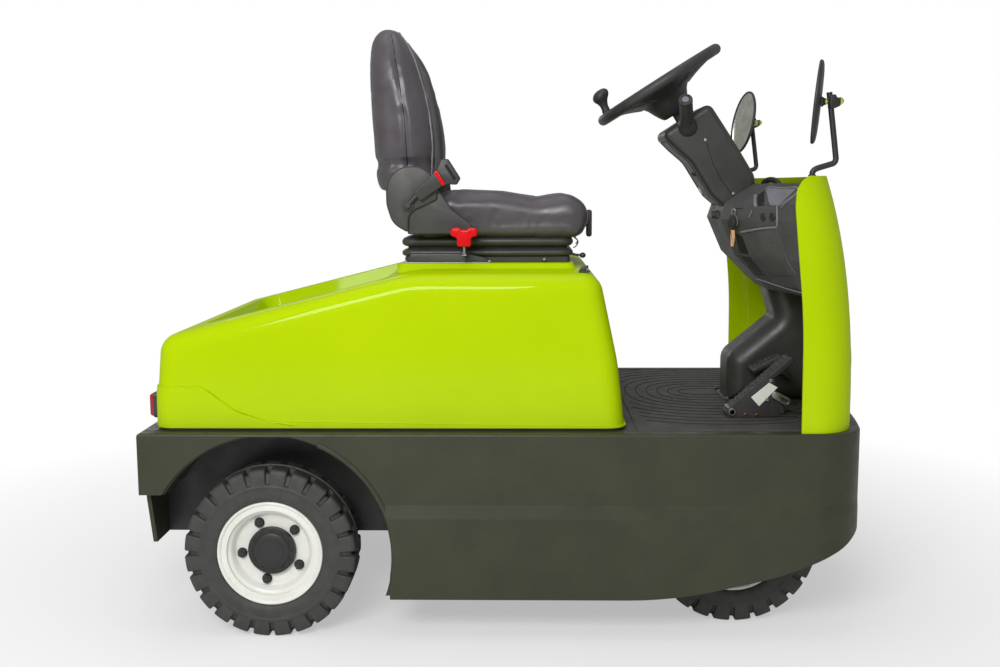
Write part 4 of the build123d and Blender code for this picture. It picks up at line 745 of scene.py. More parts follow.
def make_cushion():
    """Cushion: a dished middle between bolsters, cross seams, and a seam round its rim."""
    start = slab(CUSHION_OUTLINE, 12 - SEAT_SIDE, SEAT_SIDE - 12, edge=34, steps=8, foot=SEAT)
    for vertex in start.vertices:
        vertex.co.z = max(vertex.co.z, CUSHION_FOOT_Z / 1000)
    cushion = swelled("seat_cushion_cover", start, CUSHION_CAP)
    for vertex in cushion.vertices:
        middle = max(0, 1 - (vertex.co.y / DISH_HALF_WIDTH) ** 2)
        if vertex.normal.z > 0.4:
            vertex.co.z -= DISH_DEPTH * middle
    cushion.update()
    for side in (1, -1):
        press_line(cushion, [at(x, side * CUSHION_LINE_SIDE, ABOVE_SEAT) for x in range(330, 721, 6)],
                   DOWN, 12, 4)
    for station in CUSHION_CROSS_STATIONS:
        press_line(cushion, [at(station, y, ABOVE_SEAT) for y in range(-160, 161, 6)], DOWN, 14, 3.5)
    rim = [at(p.x + SEAT[0], BESIDE_SEAT, p.y + SEAT[1]) for p in rounded(CUSHION_SEAM)[:-6]]
    press_line(cushion, spline(rim, 8), TO_LEFT, 14, 3)
    seat_cover("seat_cushion_cover", cushion, "seat_cushion")


def make_back():
    """Back: bolsters and creases on both sides with a line of painted shade in each crease, piped seams whose
    light piping carries a painted highlight, a groove round its foot, cross seams.
    """
    back = swelled("seat_back_cover", skin([back_ring(*row) for row in BACK_ROWS]), BACK_CAP)
    for side, name in ((1, "left"), (-1, "right")):
        inward = TO_RIGHT * side
        bolster = [at(BEFORE_SEAT, side * BACK_LINE_SIDE * min(1, (BACK_LINE_PEAK - z) / BACK_LINE_TAPER), z)
                   for z in range(1112, 1400, 6)]
        press_line(back, bolster, REARWARD, 13, 5)
        crease = [at(x - 6, side * (half + 60), z) for z, _, x, _, half in BACK_ROWS[:-3]]
        crease = press_line(back, spline(crease, 12), inward, 11, 5)
        seam = [at(front - 6, side * (half * 0.9 + 60), z) for z, _, _, front, half in BACK_ROWS[:-1]]
        seam = laid_on(back, spline(seam, 6), inward)
        # the piping's light grey is a painted highlight along the edge
        seat_piece(f"seat_back_piping_{name}", tube(seam, 2.3, 8), "seat_piping")
        # a near-black line of painted shade laid in the crease
        crease_shade = laid_on(back, [Vector((p.x, side * 0.3, p.z)) for p in crease[::4]], inward)
        seat_piece(f"seat_back_join_{name}", tube(crease_shade, 1.4, 6), "dark_void")
    rays = []
    for step in range(-180, 181):
        turn = pi + step / 180 * FOOT_GROOVE_REACH
        way = Vector((cos(turn), sin(turn), 0))
        rays.append((at(*FOOT_GROOVE_CENTRE) + way * 0.8, -way))
    pressed(back, cast_on(back, rays), 18, 9)
    for height in BACK_CROSS_HEIGHTS:
        press_line(back, [at(BEFORE_SEAT, y, height) for y in range(-110, 111, 6)], REARWARD, 14, 3.5)
    seat_cover("seat_back_cover", back, "seat_back")


def make_seat_frame():
    """Recliner covers, rubber boot, base plate, side plates and rails."""
    for side, name in ((1, "left"), (-1, "right")):
        mesh = joined([seat_slab(DISC_OUTLINE, 240.3, 262, 5), seat_slab(FIN_OUTLINE, 240.3, 254, 3.5)])
        if side < 0:
            mesh = mirrored(mesh)
        piece = seat_piece(f"recliner_cover_{name}", mesh, "seat_plastic", sharp=40)
        if side > 0:
            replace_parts(piece, "recliner_covers")
    piece = seat_piece("seat_boot", plan_stack(BOOT_PLAN, BOOT_ROWS), "bellows_rubber", sharp=60)
    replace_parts(piece, "seat_bellows")
    piece = seat_piece("seat_base_plate", plan_stack(BASE_PLAN, BASE_ROWS), "seat_plastic")
    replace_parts(piece, "seat_base")
    seat_piece("seat_side_plate", both_sides(slab(SIDE_PLATE, -211, -196, 3)), "seat_plastic")
    rail = slab(RAIL_SECTION, -213, -190, 0.6)
    bolts = side_screws([(x, -211.5, z, 3.4, 2.2) for x, z in ((300, 860), (506, 861), (640, 866))])
    seat_piece("seat_rail_fixings", both_sides(rail, *bolts), "steel")


def make_buckle():
    """Belt buckle: case with its red button, head with a slot drawn in painted shade, stalk, strip and bolt.
    """
    near = BUCKLE_SIDE
    case = seat_slab([(-174, 171, 5), (-156, 150, 5), (-95, 192, 3), (-116, 225, 3)], near - 14, near, 3)
    head = seat_slab([(-119, 223, 2), (-99, 190, 2), (-69, 189, 6), (-60, 204, 6), (-89, 250, 6),
                      (-107, 249, 6)], near - 16, near, 4)
    stalk = tube([at(312, near - 7, 1000), at(345, near - 7, 1030)], 4.5)
    strip = tube([at(317, near - 7, 1004), at(328, near - 7, 1016), at(338, near - 7, 1026)], 6)
    bolt = turned_rod(at(312, near, 1000), at(312, near - 1, 1000), BUCKLE_BOLT)
    piece = seat_piece("belt_buckle", joined([case, head, stalk, bolt, strip]), "black_plastic", sharp=40)
    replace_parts(piece, "seat_buckle")
    # the slot in the head is a patch of painted shade
    slot = seat_slab([(-92, 238, 2), (-70, 203, 2), (-76, 199, 2), (-98, 234, 2)],
                     near - 16.4, near - 14, 0.3)
    seat_piece("belt_buckle_slot", slot, "dark_void")
    button = seat_slab([(-116, 223, 1.5), (-95, 191, 1.5), (-103, 186, 1.5), (-124, 218, 1.5)],
                       near - 15.6, near - 1, 1.2)
    seat_piece("belt_buckle_button", button, "red_plastic")


def make_seat_levers():
    """Red grip on its post, tilt handle, slide lever with its ball, and the wire clips in front."""
    grip = slab(GRIP_OUTLINE, -280, -252, edge=4.5, steps=5)
    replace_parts(seat_piece("seat_grip", grip, "red_plastic", sharp=60), "seat_knobs")
    post = turned_rod(at(447, -266, 882), at(447, -266, 901), [(0, 5), (4, 5), (4.2, 3.4), (19, 3.4)])
    bracket = slab(oblong(441, 453, 878, 881, 1), -271, -196, edge=0.8)
    seat_piece("seat_grip_post", joined([post, bracket]), "steel")
    spindle = tube([at(447, -252, 909), at(447, -204, 909)], 6)
    lever = tube([at(710, -170, 876), at(722, -170, 874), at(734, -170, 873)], [3.4, 3, 3])
    ball = turned_rod(at(728, -170, 873), at(742, -170, 873), LEVER_BALL)
    rod = tube([at(730, -100, 946), at(757, -100, 946)], 5)
    handle = slab(oblong(748, 762, 916, 984, 6), -112, -88, edge=4)
    seat_piece("seat_levers", joined([spindle, lever, ball, rod, handle]), "black_plastic", sharp=50)
    seat_piece("seat_front_clips", joined([bent(line, 1.5) for line in FRONT_CLIPS]), "steel")


make_cushion()
make_back()
make_seat_frame()
make_buckle()
make_seat_levers()


# Front end; an outline with FOOT as its foot is measured from the body's front at deck height

FOOT = (1417, 487)
HEAD_OUTLINE = [
    # station, height, corner radius
    (-481, 685, 16), (-360, 763, 18), (-289, 657, 150), (-240, 577, 50), (-245, 505, 42), (-307, 493, 34),
    (-351, 529, 60), (-405, 615, 80), (-445, 649, 60),
]
RIM_CENTRE = at(FOOT[0] - 479, 0, FOOT[1] + 813)
RIM_TILT = radians(32)
RIM_REACH = 166.5
BOSS_PROFILE = [
    # radius, height above the rim's plane
    (0.1, -86), (30, -86), (34, -84), (39, -78), (44, -70), (48.5, -62), (52.5, -54), (58, -43),
    (66, -33), (78, -25.5), (92, -20), (104, -15.5), (110, -12.5), (112, -10), (110, -8), (100, -6.5),
    (80, -4.5), (54, -2), (50, -1.2), (47, 0), (40, 1.5), (24, 3), (0.1, 3.6),
]
KNOB_PROFILE = [
    # radius, height above the rim
    (9, -5), (11.5, 0), (11, 5), (10.2, 12), (11.5, 20), (15, 28), (20, 34), (23.2, 40), (23.5, 45),
    (21.5, 50.5), (17, 55), (11, 57.8), (5, 58.8), (0.1, 59),
]
SPOKE_ROWS = [
    # reach, half width, underside and top
    (60, 42, -34, -7), (88, 38, -25, -7), (112, 31, -19, -6.5), (132, 25, -15, -5), (150, 22, -12, -2),
    (166, 22, -9, 4),
]
SPOKE_ANGLES = (90, 210, 330)
KNOB_ANGLE = radians(150)


def wheel_point(across, side, up):
    """A point in the steering wheel's own frame: forward along its plane, side, up its axis."""
    turn = Matrix.Rotation(-RIM_TILT, 4, "Y")
    return RIM_CENTRE + turn @ (Vector((across, side, up)) / 1000)


def wheel_ring(reach, height, radius, sides):
    """Round ring about the steering wheel's axis."""
    line = [wheel_point(reach * cos(t), reach * sin(t), height) for t in turns(96)]
    return tube(line, radius, sides, True)


def spun(profile, centre, sides=40, lean=0):
    """Piece turned round the steering wheel's axis from (radius, height), leaning forward with height."""
    return skin([[wheel_point(centre[0] + lean * z + r * cos(t), centre[1] + r * sin(t), z)
                  for t in turns(sides)] for r, z in profile])


def spoke(turn):
    """Tapering spoke of the steering wheel at an angle."""
    rows = []
    for reach, half, low, high in SPOKE_ROWS:
        edge = min(4, (high - low) / 3)
        section = rounded(oblong(-half, half, low, high, edge), 4)
        rows.append([wheel_point(reach * cos(turn) - p.x * sin(turn),
                                 reach * sin(turn) + p.x * cos(turn), p.y) for p in section])
    return skin(rows)


def make_steering():
    """Steering wheel with its boss, spokes and shaft, and the spinner knob on its collar."""
    meshes = [wheel_ring(RIM_REACH, 0, 13.5, 20), wheel_ring(156.6, -6.5, 1.6, 8), spun(BOSS_PROFILE, (0, 0))]
    meshes += [spoke(radians(degrees)) for degrees in SPOKE_ANGLES]
    meshes.append(tube([wheel_point(0, 0, -z) for z in (218, 84)], 10, 20))
    wheel = finish_piece("steering_wheel_moulding", joined(meshes), "wheel_rubber", "steering", 40)
    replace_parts(wheel, "steering_wheel")
    centre = (RIM_REACH * cos(KNOB_ANGLE), RIM_REACH * sin(KNOB_ANGLE))
    knob = spun([(r, z + 15.8) for r, z in KNOB_PROFILE], centre, 32, 0.2)
    knob = finish_piece("steering_knob", knob, "wheel_rubber", "steering", 60)
    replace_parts(knob, "spinner_knob")
    collar = spun([(15, 9), (16.5, 10), (16.5, 13), (15, 14)], centre, 24)
    finish_piece("steering_knob_collar", collar, "black_plastic", "steering")


# station and height of the seams on the head's sides and rear, drawn as lines of painted shade
HEAD_SEAM = [(1050, 1150), (1054, 1139), (1064, 1107), (1085, 1064), (1106, 1034), (1116, 1022), (1132, 1000)]
HEAD_REAR_LINE = [(947, 1155), (969, 1127), (1012, 1093), (1067, 1007), (1099, 975)]
HEAD_SCREWS = [(1047, -87.6, 1157, 4.6, 2.6), (1120, -87.6, 1023, 4.6, 2.6), (1117, -84, 496, 4, 2.5),
               (1185, -83, 496, 4, 2.5)]
# name, finish, centre's side and height, half width and half height; the slot is a patch of painted shade
HEAD_SPOTS = [("column_rear_badge", "white_paint", 52, 1029, 13, 9),
              ("column_rear_slot", "dark_void", -10, 1072, 30, 5)]
STALK_COLLAR = [(-10, 27), (-4, 26.5), (3, 24), (10, 21), (18, 18.6), (26, 17), (28, 8)]
STALK_RIB_COUNT = 14
STALK_RIB_PITCH = 5.6


def make_column():
    """Head of the column with its seams drawn in painted shade, its screws, and the panel on its rear face
    with a line of painted shade round it.
    """
    head = slab(HEAD_OUTLINE, -88, 88, edge=15, steps=6, foot=FOOT)
    head = finish_piece("column_head_cover", head, "black_plastic", sharp=40)
    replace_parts(head, "column_head")
    # the seams on the head's sides are drawn as lines of painted shade
    seam = bent([(x, -88, z) for x, z in HEAD_SEAM], 0.9, 8, 6)
    finish_piece("column_head_seams", both_sides(seam), "dark_void")
    finish_piece("column_screws", both_sides(*side_screws(HEAD_SCREWS)), "steel")
    rear = spline([at(x, 0, z) - FORWARD * 0.1 for x, z in HEAD_REAR_LINE], 6)
    loop = [p + TO_LEFT * 0.058 for p in rear] + [p + TO_RIGHT * 0.058 for p in reversed(rear)]
    # a line of painted shade round the panel on the head's rear face
    frame_line = laid_on(head.data, loop, FORWARD)
    finish_piece("column_rear_frame", tube(frame_line, 1.3, 6, True), "dark_void")
    lift = Vector((-0.0012, 0, -0.0008))
    for name, finish, y, z, wide, tall in HEAD_SPOTS:
        loop = [at(1000, y + wide * cos(t), z + tall * sin(t)) for t in turns(28)]
        ring = laid_on(head.data, loop, FORWARD)
        finish_piece(name, skin([[p - lift * 2 for p in ring], [p + lift for p in ring]]), finish)


def make_stalk():
    """Lever at the column: flared root, ribbed grip and end button."""
    root, tip = at(1001, -84, 1194), at(984, -168, 1252)
    length = (tip - root).length * 1000
    profile = [(6, 13), (12, 15)]
    for rib in range(STALK_RIB_COUNT):
        start = 16 + rib * STALK_RIB_PITCH
        profile += [(start, 17), (start + 3, 17), (start + 3.8, 16.4)]
    profile += [(length - 8, 17.6), (length - 2, 17.6), (length, 16.4), (length, 11), (length - 2, 10.4),
                (length - 2, 0.1)]
    stalk = joined([turned_rod(root, tip, STALK_COLLAR, 32), turned_rod(root, tip, profile, 32)])
    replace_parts(finish_piece("column_stalk_grip", stalk, "black_plastic"), "column_stalks")
    button = [(length - 3, 9.6), (length - 0.6, 9.6), (length + 0.6, 8), (length + 0.8, 0.1)]
    finish_piece("column_stalk_button", turned_rod(root, tip, button, 28), "grey_plastic")


FLANGE_PLAN = [(1113, -88, 30), (1352, -88, 4), (1352, 88, 4), (1113, 88, 30)]
FLANGE_ROWS = [(487, 0.5), (487.6, 0), (490, 0.3), (491.4, 2)]
# a wire clip's own line: station from its middle, side, height
FLANGE_CLIP = [(-14, -90, 488.5), (-6, -96, 490.5), (6, -96, 490.5), (14, -90, 488.5)]
FLANGE_CLIP_STATIONS = (1128, 1180, 1240)


def make_column_foot():
    """Flange round the foot of the column's cover, with wire clips on both sides."""
    clips = [bent([(middle + x, y, z) for x, y, z in FLANGE_CLIP], 2.2, 5) for middle in FLANGE_CLIP_STATIONS]
    flange = plan_stack(FLANGE_PLAN, FLANGE_ROWS)
    finish_piece("column_cover_flange", joined([flange, both_sides(*clips)]), "black_plastic")


# outlines of station and height from the foot, with corner radius
TREAD_OUTLINE = [(-341, 7, 4), (-329, 2, 4), (-172, 137, 8), (-184, 151, 8)]
CHEEK_OUTLINE = [(-335, 0, 2), (-337, 19, 8), (-247, 101, 6), (-221, 93, 6), (-231, 53, 20), (-207, 2, 3)]
CASE_OUTLINE = [(-287, 6, 2), (-287, 35, 6), (-239, 75, 6), (-203, 43, 6), (-195, 6, 2)]
BASE_OUTLINE = [(-333, 0.2, 1), (-333, 6, 2), (-167, 6, 2), (-167, 0.2, 1)]
LEVER_OUTLINE = [(-234, 52, 6), (-224, 66, 6), (-180, 44, 11), (-190, 26, 11)]
PAD_OUTLINE = [(-257, 97, 4), (-249, 86, 4), (-177, 125, 4), (-185, 137, 4)]
PIVOT_PROFILE = [(0, 8), (64, 8), (66, 9.5), (69.5, 9.5), (70.5, 8.6), (70.5, 5.4), (67, 5), (67, 0.1)]
TREAD_RIB = [(-2.2, -2, 0.6), (0.2, 1.4, 1), (2.4, 1.8, 1), (2.2, -2, 0.6)]
PAD_RIB = [(-2.6, -2, 0.6), (-0.4, 2.2, 1), (1.8, 2.4, 1), (2.6, -1, 0.6)]
# how many ribs, and where the first and the last of them stand
TREAD_RIB_RUN = (17, (-331.58, 17.58), (-193.42, 143.42))
PAD_RIB_RUN = (8, (-251.24, 100.7), (-190.76, 134.3))
PEDAL_SCREWS = [(1184, -288.6, 578, 5, 4), (1176, -288.6, 531, 5, 4), (1226, -292, 523, 4, 2.5)]
BRAKE_ARM = [(1216, -137.5, 600), (1262, -137.5, 560), (1262, -110, 560), (1262, -82.3, 560)]


def front_slab(corners, y_low, y_high, edge, steps=3):
    """A slab whose outline is measured from the body's front at deck height."""
    return slab(corners, y_low, y_high, edge, steps, FOOT)


def pedal_ribs(section, count, first, last, y_low, y_high, edge):
    """Grip ribs from the first place, as station and height, to the last."""
    ribs = []
    for step in range(count):
        share = step / (count - 1)
        x, z = (a + (b - a) * share for a, b in zip(first, last))
        ribs.append(front_slab([(x + u, z + v, r) for u, v, r in section], y_low, y_high, edge, 2))
    return ribs


def make_pedals():
    """Accelerator treadle beside its case, with its fixings and bare plate, and the brake pedal."""
    ribs = pedal_ribs(TREAD_RIB, *TREAD_RIB_RUN, -279, -225, 0.8)
    tread = front_slab(TREAD_OUTLINE, -282, -222, 3)
    cheek = front_slab(CHEEK_OUTLINE, -288, -282, 1.2)
    case = front_slab(CASE_OUTLINE, -282, -234, 3)
    base = front_slab(BASE_OUTLINE, -282, -222, 1)
    piece = finish_piece("accelerator_treadle", joined([tread, *ribs, cheek, case, base]), "pedal_rubber")
    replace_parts(piece, "accelerator_pedal")
    pivot = turned_rod(at(1092, -222, 501), at(1092, -223, 501), PIVOT_PROFILE)
    lever = front_slab(LEVER_OUTLINE, -292, -289, 0.8)
    finish_piece("accelerator_fixings", joined([pivot, lever, *side_screws(PEDAL_SCREWS)]), "steel")
    wires = [bent([(x, -288.5, 489), (x + 4, -291, 493 + bend / 2), (x + 11, -290, 490 + bend),
                   (x + 14, -288, 489)], 1.5, 5) for x, bend in ((1118, 6), (1146, 5))]
    finish_piece("accelerator_wires", joined(wires), "copper")
    label = slab([(1137, 537, 1), (1180, 573, 1), (1200, 561, 1), (1157, 515, 1)], -289, -287.6, 0.2, 1)
    finish_piece("accelerator_blank_plate", label, "white_paint")
    ribs = pedal_ribs(PAD_RIB, *PAD_RIB_RUN, -166, -109, 0.9)
    arm = tube([at(*point) for point in BRAKE_ARM], 8)
    pad = front_slab(PAD_OUTLINE, -170, -105, 3.5)
    piece = finish_piece("brake_pedal_pad", joined([pad, *ribs, arm]), "pedal_rubber")
    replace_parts(piece, "brake_pedal")


MIRROR_CENTRE = at(1234, 425, 1226)
MIRROR_YAW = radians(17)
MIRROR_PITCH = radians(5)
# the driver has turned the far mirror further on its ball than the near one
FAR_MIRROR_TURN = Matrix.Rotation(radians(5), 4, "Z") @ Matrix.Rotation(radians(6), 4, "Y")
MIRROR_HALF_WIDTH, MIRROR_HALF_HEIGHT = 56, 92
# rings of the head and its glass: offset through the thickness, inset from the rim
MIRROR_SHELL_ROWS = [
    (3.2, 40), (3, 5.6), (0.6, 5.2), (0, 4.2), (0.2, 2), (1.4, 0.5), (3.5, 0), (6, 0.4),
    (8.4, 3), (10.2, 9), (11.4, 20), (12, 36), (12, 50),
]
MIRROR_GLASS_ROWS = [(2.9, 5.7), (1.8, 5.8), (1.5, 6.6), (1.1, 30), (1, 55)]
STAY_SIDE = 434
STAY_LINE = [
    # station, height
    (1230, 1048.4), (1230, 1066), (1232, 1074), (1240, 1080), (1266, 1088), (1277, 1092), (1281, 1100),
    (1280, 1112), (1271, 1180), (1262, 1246),
]
STAY_FOOT = [(0, 13), (5, 13), (7, 11), (7.2, 9), (16, 9), (18, 8)]
SOCKET_PROFILE = [(0, 11), (3, 11), (5, 9), (7, 8), (8, 6), (8.4, 0.5)]
CLAMP_OUTLINE = [
    (1262, 1211, 3), (1261, 1240, 3), (1274, 1241, 3), (1277, 1234, 3), (1284, 1234, 4), (1285, 1216, 5),
    (1274, 1211, 3),
]
BALL_REACH = 20.3
STAY_END = at(1290, STAY_SIDE, 1227)
# how far along the rod from the ball each nut stands, and its width across flats
STAY_NUTS = [(1, 11), (33, 13)]


def mirror_head(rows):
    """Left mirror's skin over oval rings of (offset, inset), leaning and turned as it stands."""
    stand = Matrix.Translation(MIRROR_CENTRE) @ Matrix.Rotation(MIRROR_YAW, 4, "Z")
    stand = stand @ Matrix.Rotation(MIRROR_PITCH, 4, "Y")
    return skin([[stand @ (Vector((offset, (MIRROR_HALF_WIDTH - inset) * sin(t),
                                   (MIRROR_HALF_HEIGHT - inset) * cos(t))) / 1000)
                  for t in turns(72)] for offset, inset in rows])


def make_mirrors():
    """Both mirror heads, their bent stays and the bolts that clamp them."""
    pivot = MIRROR_CENTRE + Vector((0.019, 0.006, 0))
    for name, rows, finish in (("mirror_shell", MIRROR_SHELL_ROWS, "mirror_head"),
                               ("mirror_glass", MIRROR_GLASS_ROWS, "mirror_glass")):
        mesh = mirror_head(rows)
        near = mirrored(mesh)
        mesh.transform(Matrix.Translation(pivot) @ FAR_MIRROR_TURN @ Matrix.Translation(-pivot))
        piece = finish_piece(name, joined([mesh, near]), finish, sharp=45)
        if name == "mirror_shell":
            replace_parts(piece, "mirrors")

    y = STAY_SIDE
    rod = bent([(x, y, z) for x, z in STAY_LINE], 6.5, sides=16)
    foot_nut = turned_rod(at(1230, y, 1048.3), at(1230, y, 1049.3), STAY_FOOT, 20)
    reach = BALL_REACH / cos(MIRROR_PITCH) / 1000
    way = Vector((cos(MIRROR_YAW), sin(MIRROR_YAW), 0))
    ball = MIRROR_CENTRE + way * reach
    socket = turned_rod(ball - way * 0.0075, ball, SOCKET_PROFILE, 24)
    clamp = slab(CLAMP_OUTLINE, y - 12, y + 12, edge=2.5)
    stays = both_sides(rod, foot_nut, socket, clamp)
    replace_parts(finish_piece("mirror_stays", stays, "black_paint", sharp=45), "mirror_arms")
    along = (STAY_END - ball).normalized()
    spin = TO_LEFT.rotation_difference(along).to_matrix().to_4x4()
    nuts = [moved_nut((across, 6, 3.5, 8), ball + along * distance / 1000, spin)
            for distance, across in STAY_NUTS]
    cheek = moved_nut((12, 5, 3.5, 7), at(1273, y - 12, 1225), Matrix.Rotation(pi, 4, "Z"))
    rod = turned_rod(ball, STAY_END, [(0, 4.5), (39, 4.5), (41, 3)], 16)
    finish_piece("mirror_clamp_bolts", both_sides(rod, *nuts, mirrored(cheek)), "zinc_yellow")


LAMP_WIDTH = 42
# insets of the tail lamps' base by distance from the hood, and of their lens by distance from its crown
LAMP_BASE_ROWS = [(0, 0.6), (1, 0), (10, 0), (11.4, 1.4), (11.6, 4)]
LAMP_LENS_ROWS = [(6, 0.4), (3, 1.6), (1, 4.5), (0.2, 9)]


def make_lamps_and_latch():
    """Tail lamps, with a lens on each base, and the hood's latch, all sized by their CAD boxes."""
    (x_low, x_high), (_, side), (z_low, z_high) = node_box("tail_lamps")

    def lamp(margin, radius, rows):
        """Rounded block for the left lamp, from rows of (station, inset)."""
        inner = side - LAMP_WIDTH
        edge = rounded(oblong(inner + margin, side - margin, z_low + margin, z_high - margin, radius))
        return skin([[at(x, p.x, p.y) for p in shrunk(edge, inset)] for x, inset in rows])

    base = lamp(0, 8, [(x_high - depth, inset) for depth, inset in LAMP_BASE_ROWS])
    dome = [(x_high - 11, 0)] + [(x_low + height, inset) for height, inset in LAMP_LENS_ROWS]
    lens = lamp(3, 7, dome)
    piece = finish_piece("tail_lamp_bases", both_sides(base), "black_plastic", "hood_lid")
    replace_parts(piece, "tail_lamps")
    finish_piece("tail_lamp_lenses", both_sides(lens), "lamp_lens", "hood_lid")

    (x_low, x_high), (y_low, y_high), (z, _) = node_box("hood_latch")
    mount = slab(oblong(x_low, x_high, z, z + 4, 2), y_low, y_high, 1.2)
    lever = slab([(x_low + 2, z + 3, 2), (x_low + 5, z + 12, 5), (x_high - 6, z + 16, 4), (x_high, z + 14, 3),
                  (x_high - 8, z + 8, 5), (x_high - 10, z + 3, 2)], y_low + 6, y_high - 6, 1.6)
    piece = finish_piece("hood_latch_lever", joined([mount, lever]), "black_plastic", "hood_lid")
    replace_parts(piece, "hood_latch")


make_steering()
make_column()
make_stalk()
make_column_foot()
make_pedals()
make_mirrors()
make_lamps_and_latch()


# Dash detail, laid on the CAD moulding

TREES = {}


def on_node(name, points, lift=0):
    """Points moved to the nearest place on a CAD node, and off it by lift millimetres."""
    if name not in TREES:
        TREES[name] = tree_of(NODES[name].data)
    found = []
    for point in points:
        place, normal, _, _ = TREES[name].find_nearest(point)
        found.append(place + normal * lift / 1000)
    return found


def panel_on(name, corners, lift, steps=10):
    """Raised panel over a CAD node between four corners, with its border turned down to the surface."""
    a, b, c, d = [at(*corner) for corner in corners]
    rows = []
    for i in range(-1, steps + 2):
        row = []
        for j in range(-1, steps + 2):
            s, t = max(0, min(steps, i)) / steps, max(0, min(steps, j)) / steps
            border = i in (-1, steps + 1) or j in (-1, steps + 1)
            near = not border and (i in (0, steps) or j in (0, steps))
            place = (a * (1 - t) + b * t) * (1 - s) + (d * (1 - t) + c * t) * s
            row.append(on_node(name, [place], -0.6 if border else lift * (0.75 if near else 1))[0])
        rows.append(row)
    return face_outwards(grid_mesh(rows))


def line_on(name, points, radius, lift=0, closed=False):
    """Raised bead along points of a CAD node."""
    return tube(on_node(name, spline([at(*p) for p in points], 6, closed), lift), radius, 8, closed)


# corners in the CAD's millimetres, then lift and steps
DASH_PANELS = [
    ([(1130, -166, 925), (1184, -284, 942), (1226, -334, 835), (1192, -160, 822)], 3, 12),
    ([(1140, -190, 992), (1184, -287, 996), (1184, -288, 950), (1137, -186, 940)], 1.6, 8),
]
DASH_POCKET = ([(1181, -210, 1036), (1212, -366, 1036), (1190, -302, 999), (1176, -272, 1001)], 1, 10)
# recesses of the dash, drawn as dark patches of painted shade
DASH_RECESS_SHADES = [
    ([(1117, -141, 927), (1130, -161, 918), (1190, -157, 821), (1181, -97, 816)], 0.8, 10),
    ([(1161, -194, 1020), (1175, -205, 1031), (1168, -250, 996), (1155, -228, 993)], 0.9, 6),
]
# points of each bead, its radius and lift, and whether it closes; the beads' lighter grey is a painted
# highlight along the dash's edges
DASH_HIGHLIGHT_BEADS = [
    ([(1181, -208, 1038), (1196, -290, 1038), (1213, -369, 1038), (1212, -377, 1026), (1200, -338, 1010),
      (1190, -302, 997), (1184, -288, 998), (1176, -271, 999), (1178, -240, 1018)], 2.2, 0.5, True),
    ([(1186, -291, 998), (1187, -293, 957), (1186, -287, 943)], 2.4, 0, False),
    ([(1129, -164, 929), (1158, -230, 939), (1186, -287, 945)], 3, 0.5, False),
    ([(1186, -81, 806), (1206, -146, 801), (1228, -215, 795), (1245, -274, 791), (1258, -340, 789)],
     2.4, 0, False),
    ([(1155, -190, 1019), (1153, -205, 1006), (1152, -224, 992)], 4.2, 1, False),
    ([(1216, -380, 1024), (1196, -330, 1002), (1190, -312, 992)], 3, 0.5, False),
]
# the hump behind the column head, drawn in painted shade
DASH_ARCH = [
    (1184, -132, 1040), (1186, -150, 1052), (1194, -178, 1057), (1203, -205, 1052), (1208, -222, 1040),
]
DASH_OUT = Vector((-0.88, -0.47, 0.05))
DASH_SOCKETS = [(1164, -252, 968), (1180, -280, 969)]
SOCKET_RING = [(-2, 10.5), (1.5, 10.5), (2.6, 9.6), (2.6, 7.6), (0, 7), (0, 0.1)]
SOCKET_PLUG = [(-1, 6.4), (1.2, 6.4), (1.8, 5.4), (1.9, 0.1)]
PANEL_SCREWS = [(1185, -270, 914), (1188, -164, 829), (1093, -70, 962), (1152, -205, 934)]
BARE_SCREWS = [(1205, -342, 930), (1225, -320, 850)]
DASH_CLIPS = [((1112, -148, 989), (1127, -178, 990)), ((1145, -214, 984), (1142, -208, 966))]
BARREL_PROFILE = [(-3, 11), (4, 11), (6, 9), (14, 9), (15.5, 7.5), (15.6, 2), (13, 1.8), (13, 0.1)]
FOB_PROFILE = [(0, 10), (1, 14), (4, 14.5), (7, 14), (8.5, 10), (8.8, 0.1)]
TAG_OUTLINE = [(1101, 932, 2), (1101, 934, 2), (1111, 934, 2), (1112, 915, 3), (1109, 893, 3), (1102, 893, 3)]


def make_dash_detail():
    """Panels, pockets, beads lighter grey as a painted highlight, recesses and the hump behind the column in
    painted shade, sockets and screws laid on the dash; the far side mirrors the near one.
    """
    def on_dash(points, lift=0):
        return on_node("dash", [at(*point) for point in points], lift)

    panels = [panel_on("dash", *panel) for panel in DASH_PANELS]
    finish_piece("dash_panels", both_sides(*panels), "dash_plastic", sharp=50)
    finish_piece("dash_pocket", both_sides(panel_on("dash", *DASH_POCKET)), "grey_plastic")
    # the beads' lighter grey is a painted highlight
    finish_piece("dash_beads", both_sides(*[line_on("dash", *bead) for bead in DASH_HIGHLIGHT_BEADS]), "grey_plastic")
    # the recesses are dark patches of painted shade, and the hump behind the column head is painted the same
    frame_shade, tray_shade = [panel_on("dash", *recess) for recess in DASH_RECESS_SHADES]
    arch = bent(DASH_ARCH, 7, sides=12)
    finish_piece("dash_recesses", joined([both_sides(frame_shade), tray_shade, arch]), "dark_plastic")
    places = on_dash(DASH_SOCKETS, 1.4)
    for name, profile, finish in (("dash_sockets", SOCKET_RING, "black_plastic"),
                                  ("dash_socket_plugs", SOCKET_PLUG, "steel")):
        finish_piece(name, joined([turned_rod(p, p + DASH_OUT, profile) for p in places]), finish)
    screws = [screw(p, DASH_OUT, 3.6, 2.4) for p in on_dash(PANEL_SCREWS, 3) + on_dash(BARE_SCREWS)]
    clips = [tube([p + DASH_OUT * 0.004 for p in on_dash(ends)], 1.6, 8) for ends in DASH_CLIPS]
    finish_piece("dash_screws", joined(screws + clips), "steel")


def small_ring(centre, lean, reach, radius, count):
    """Ring of wire about a point in metres, its middle line leaning out by lean."""
    return tube([centre + lean * sin(t) + Vector((0, 0, reach * cos(t))) for t in turns(count)],
                radius, 8, True)


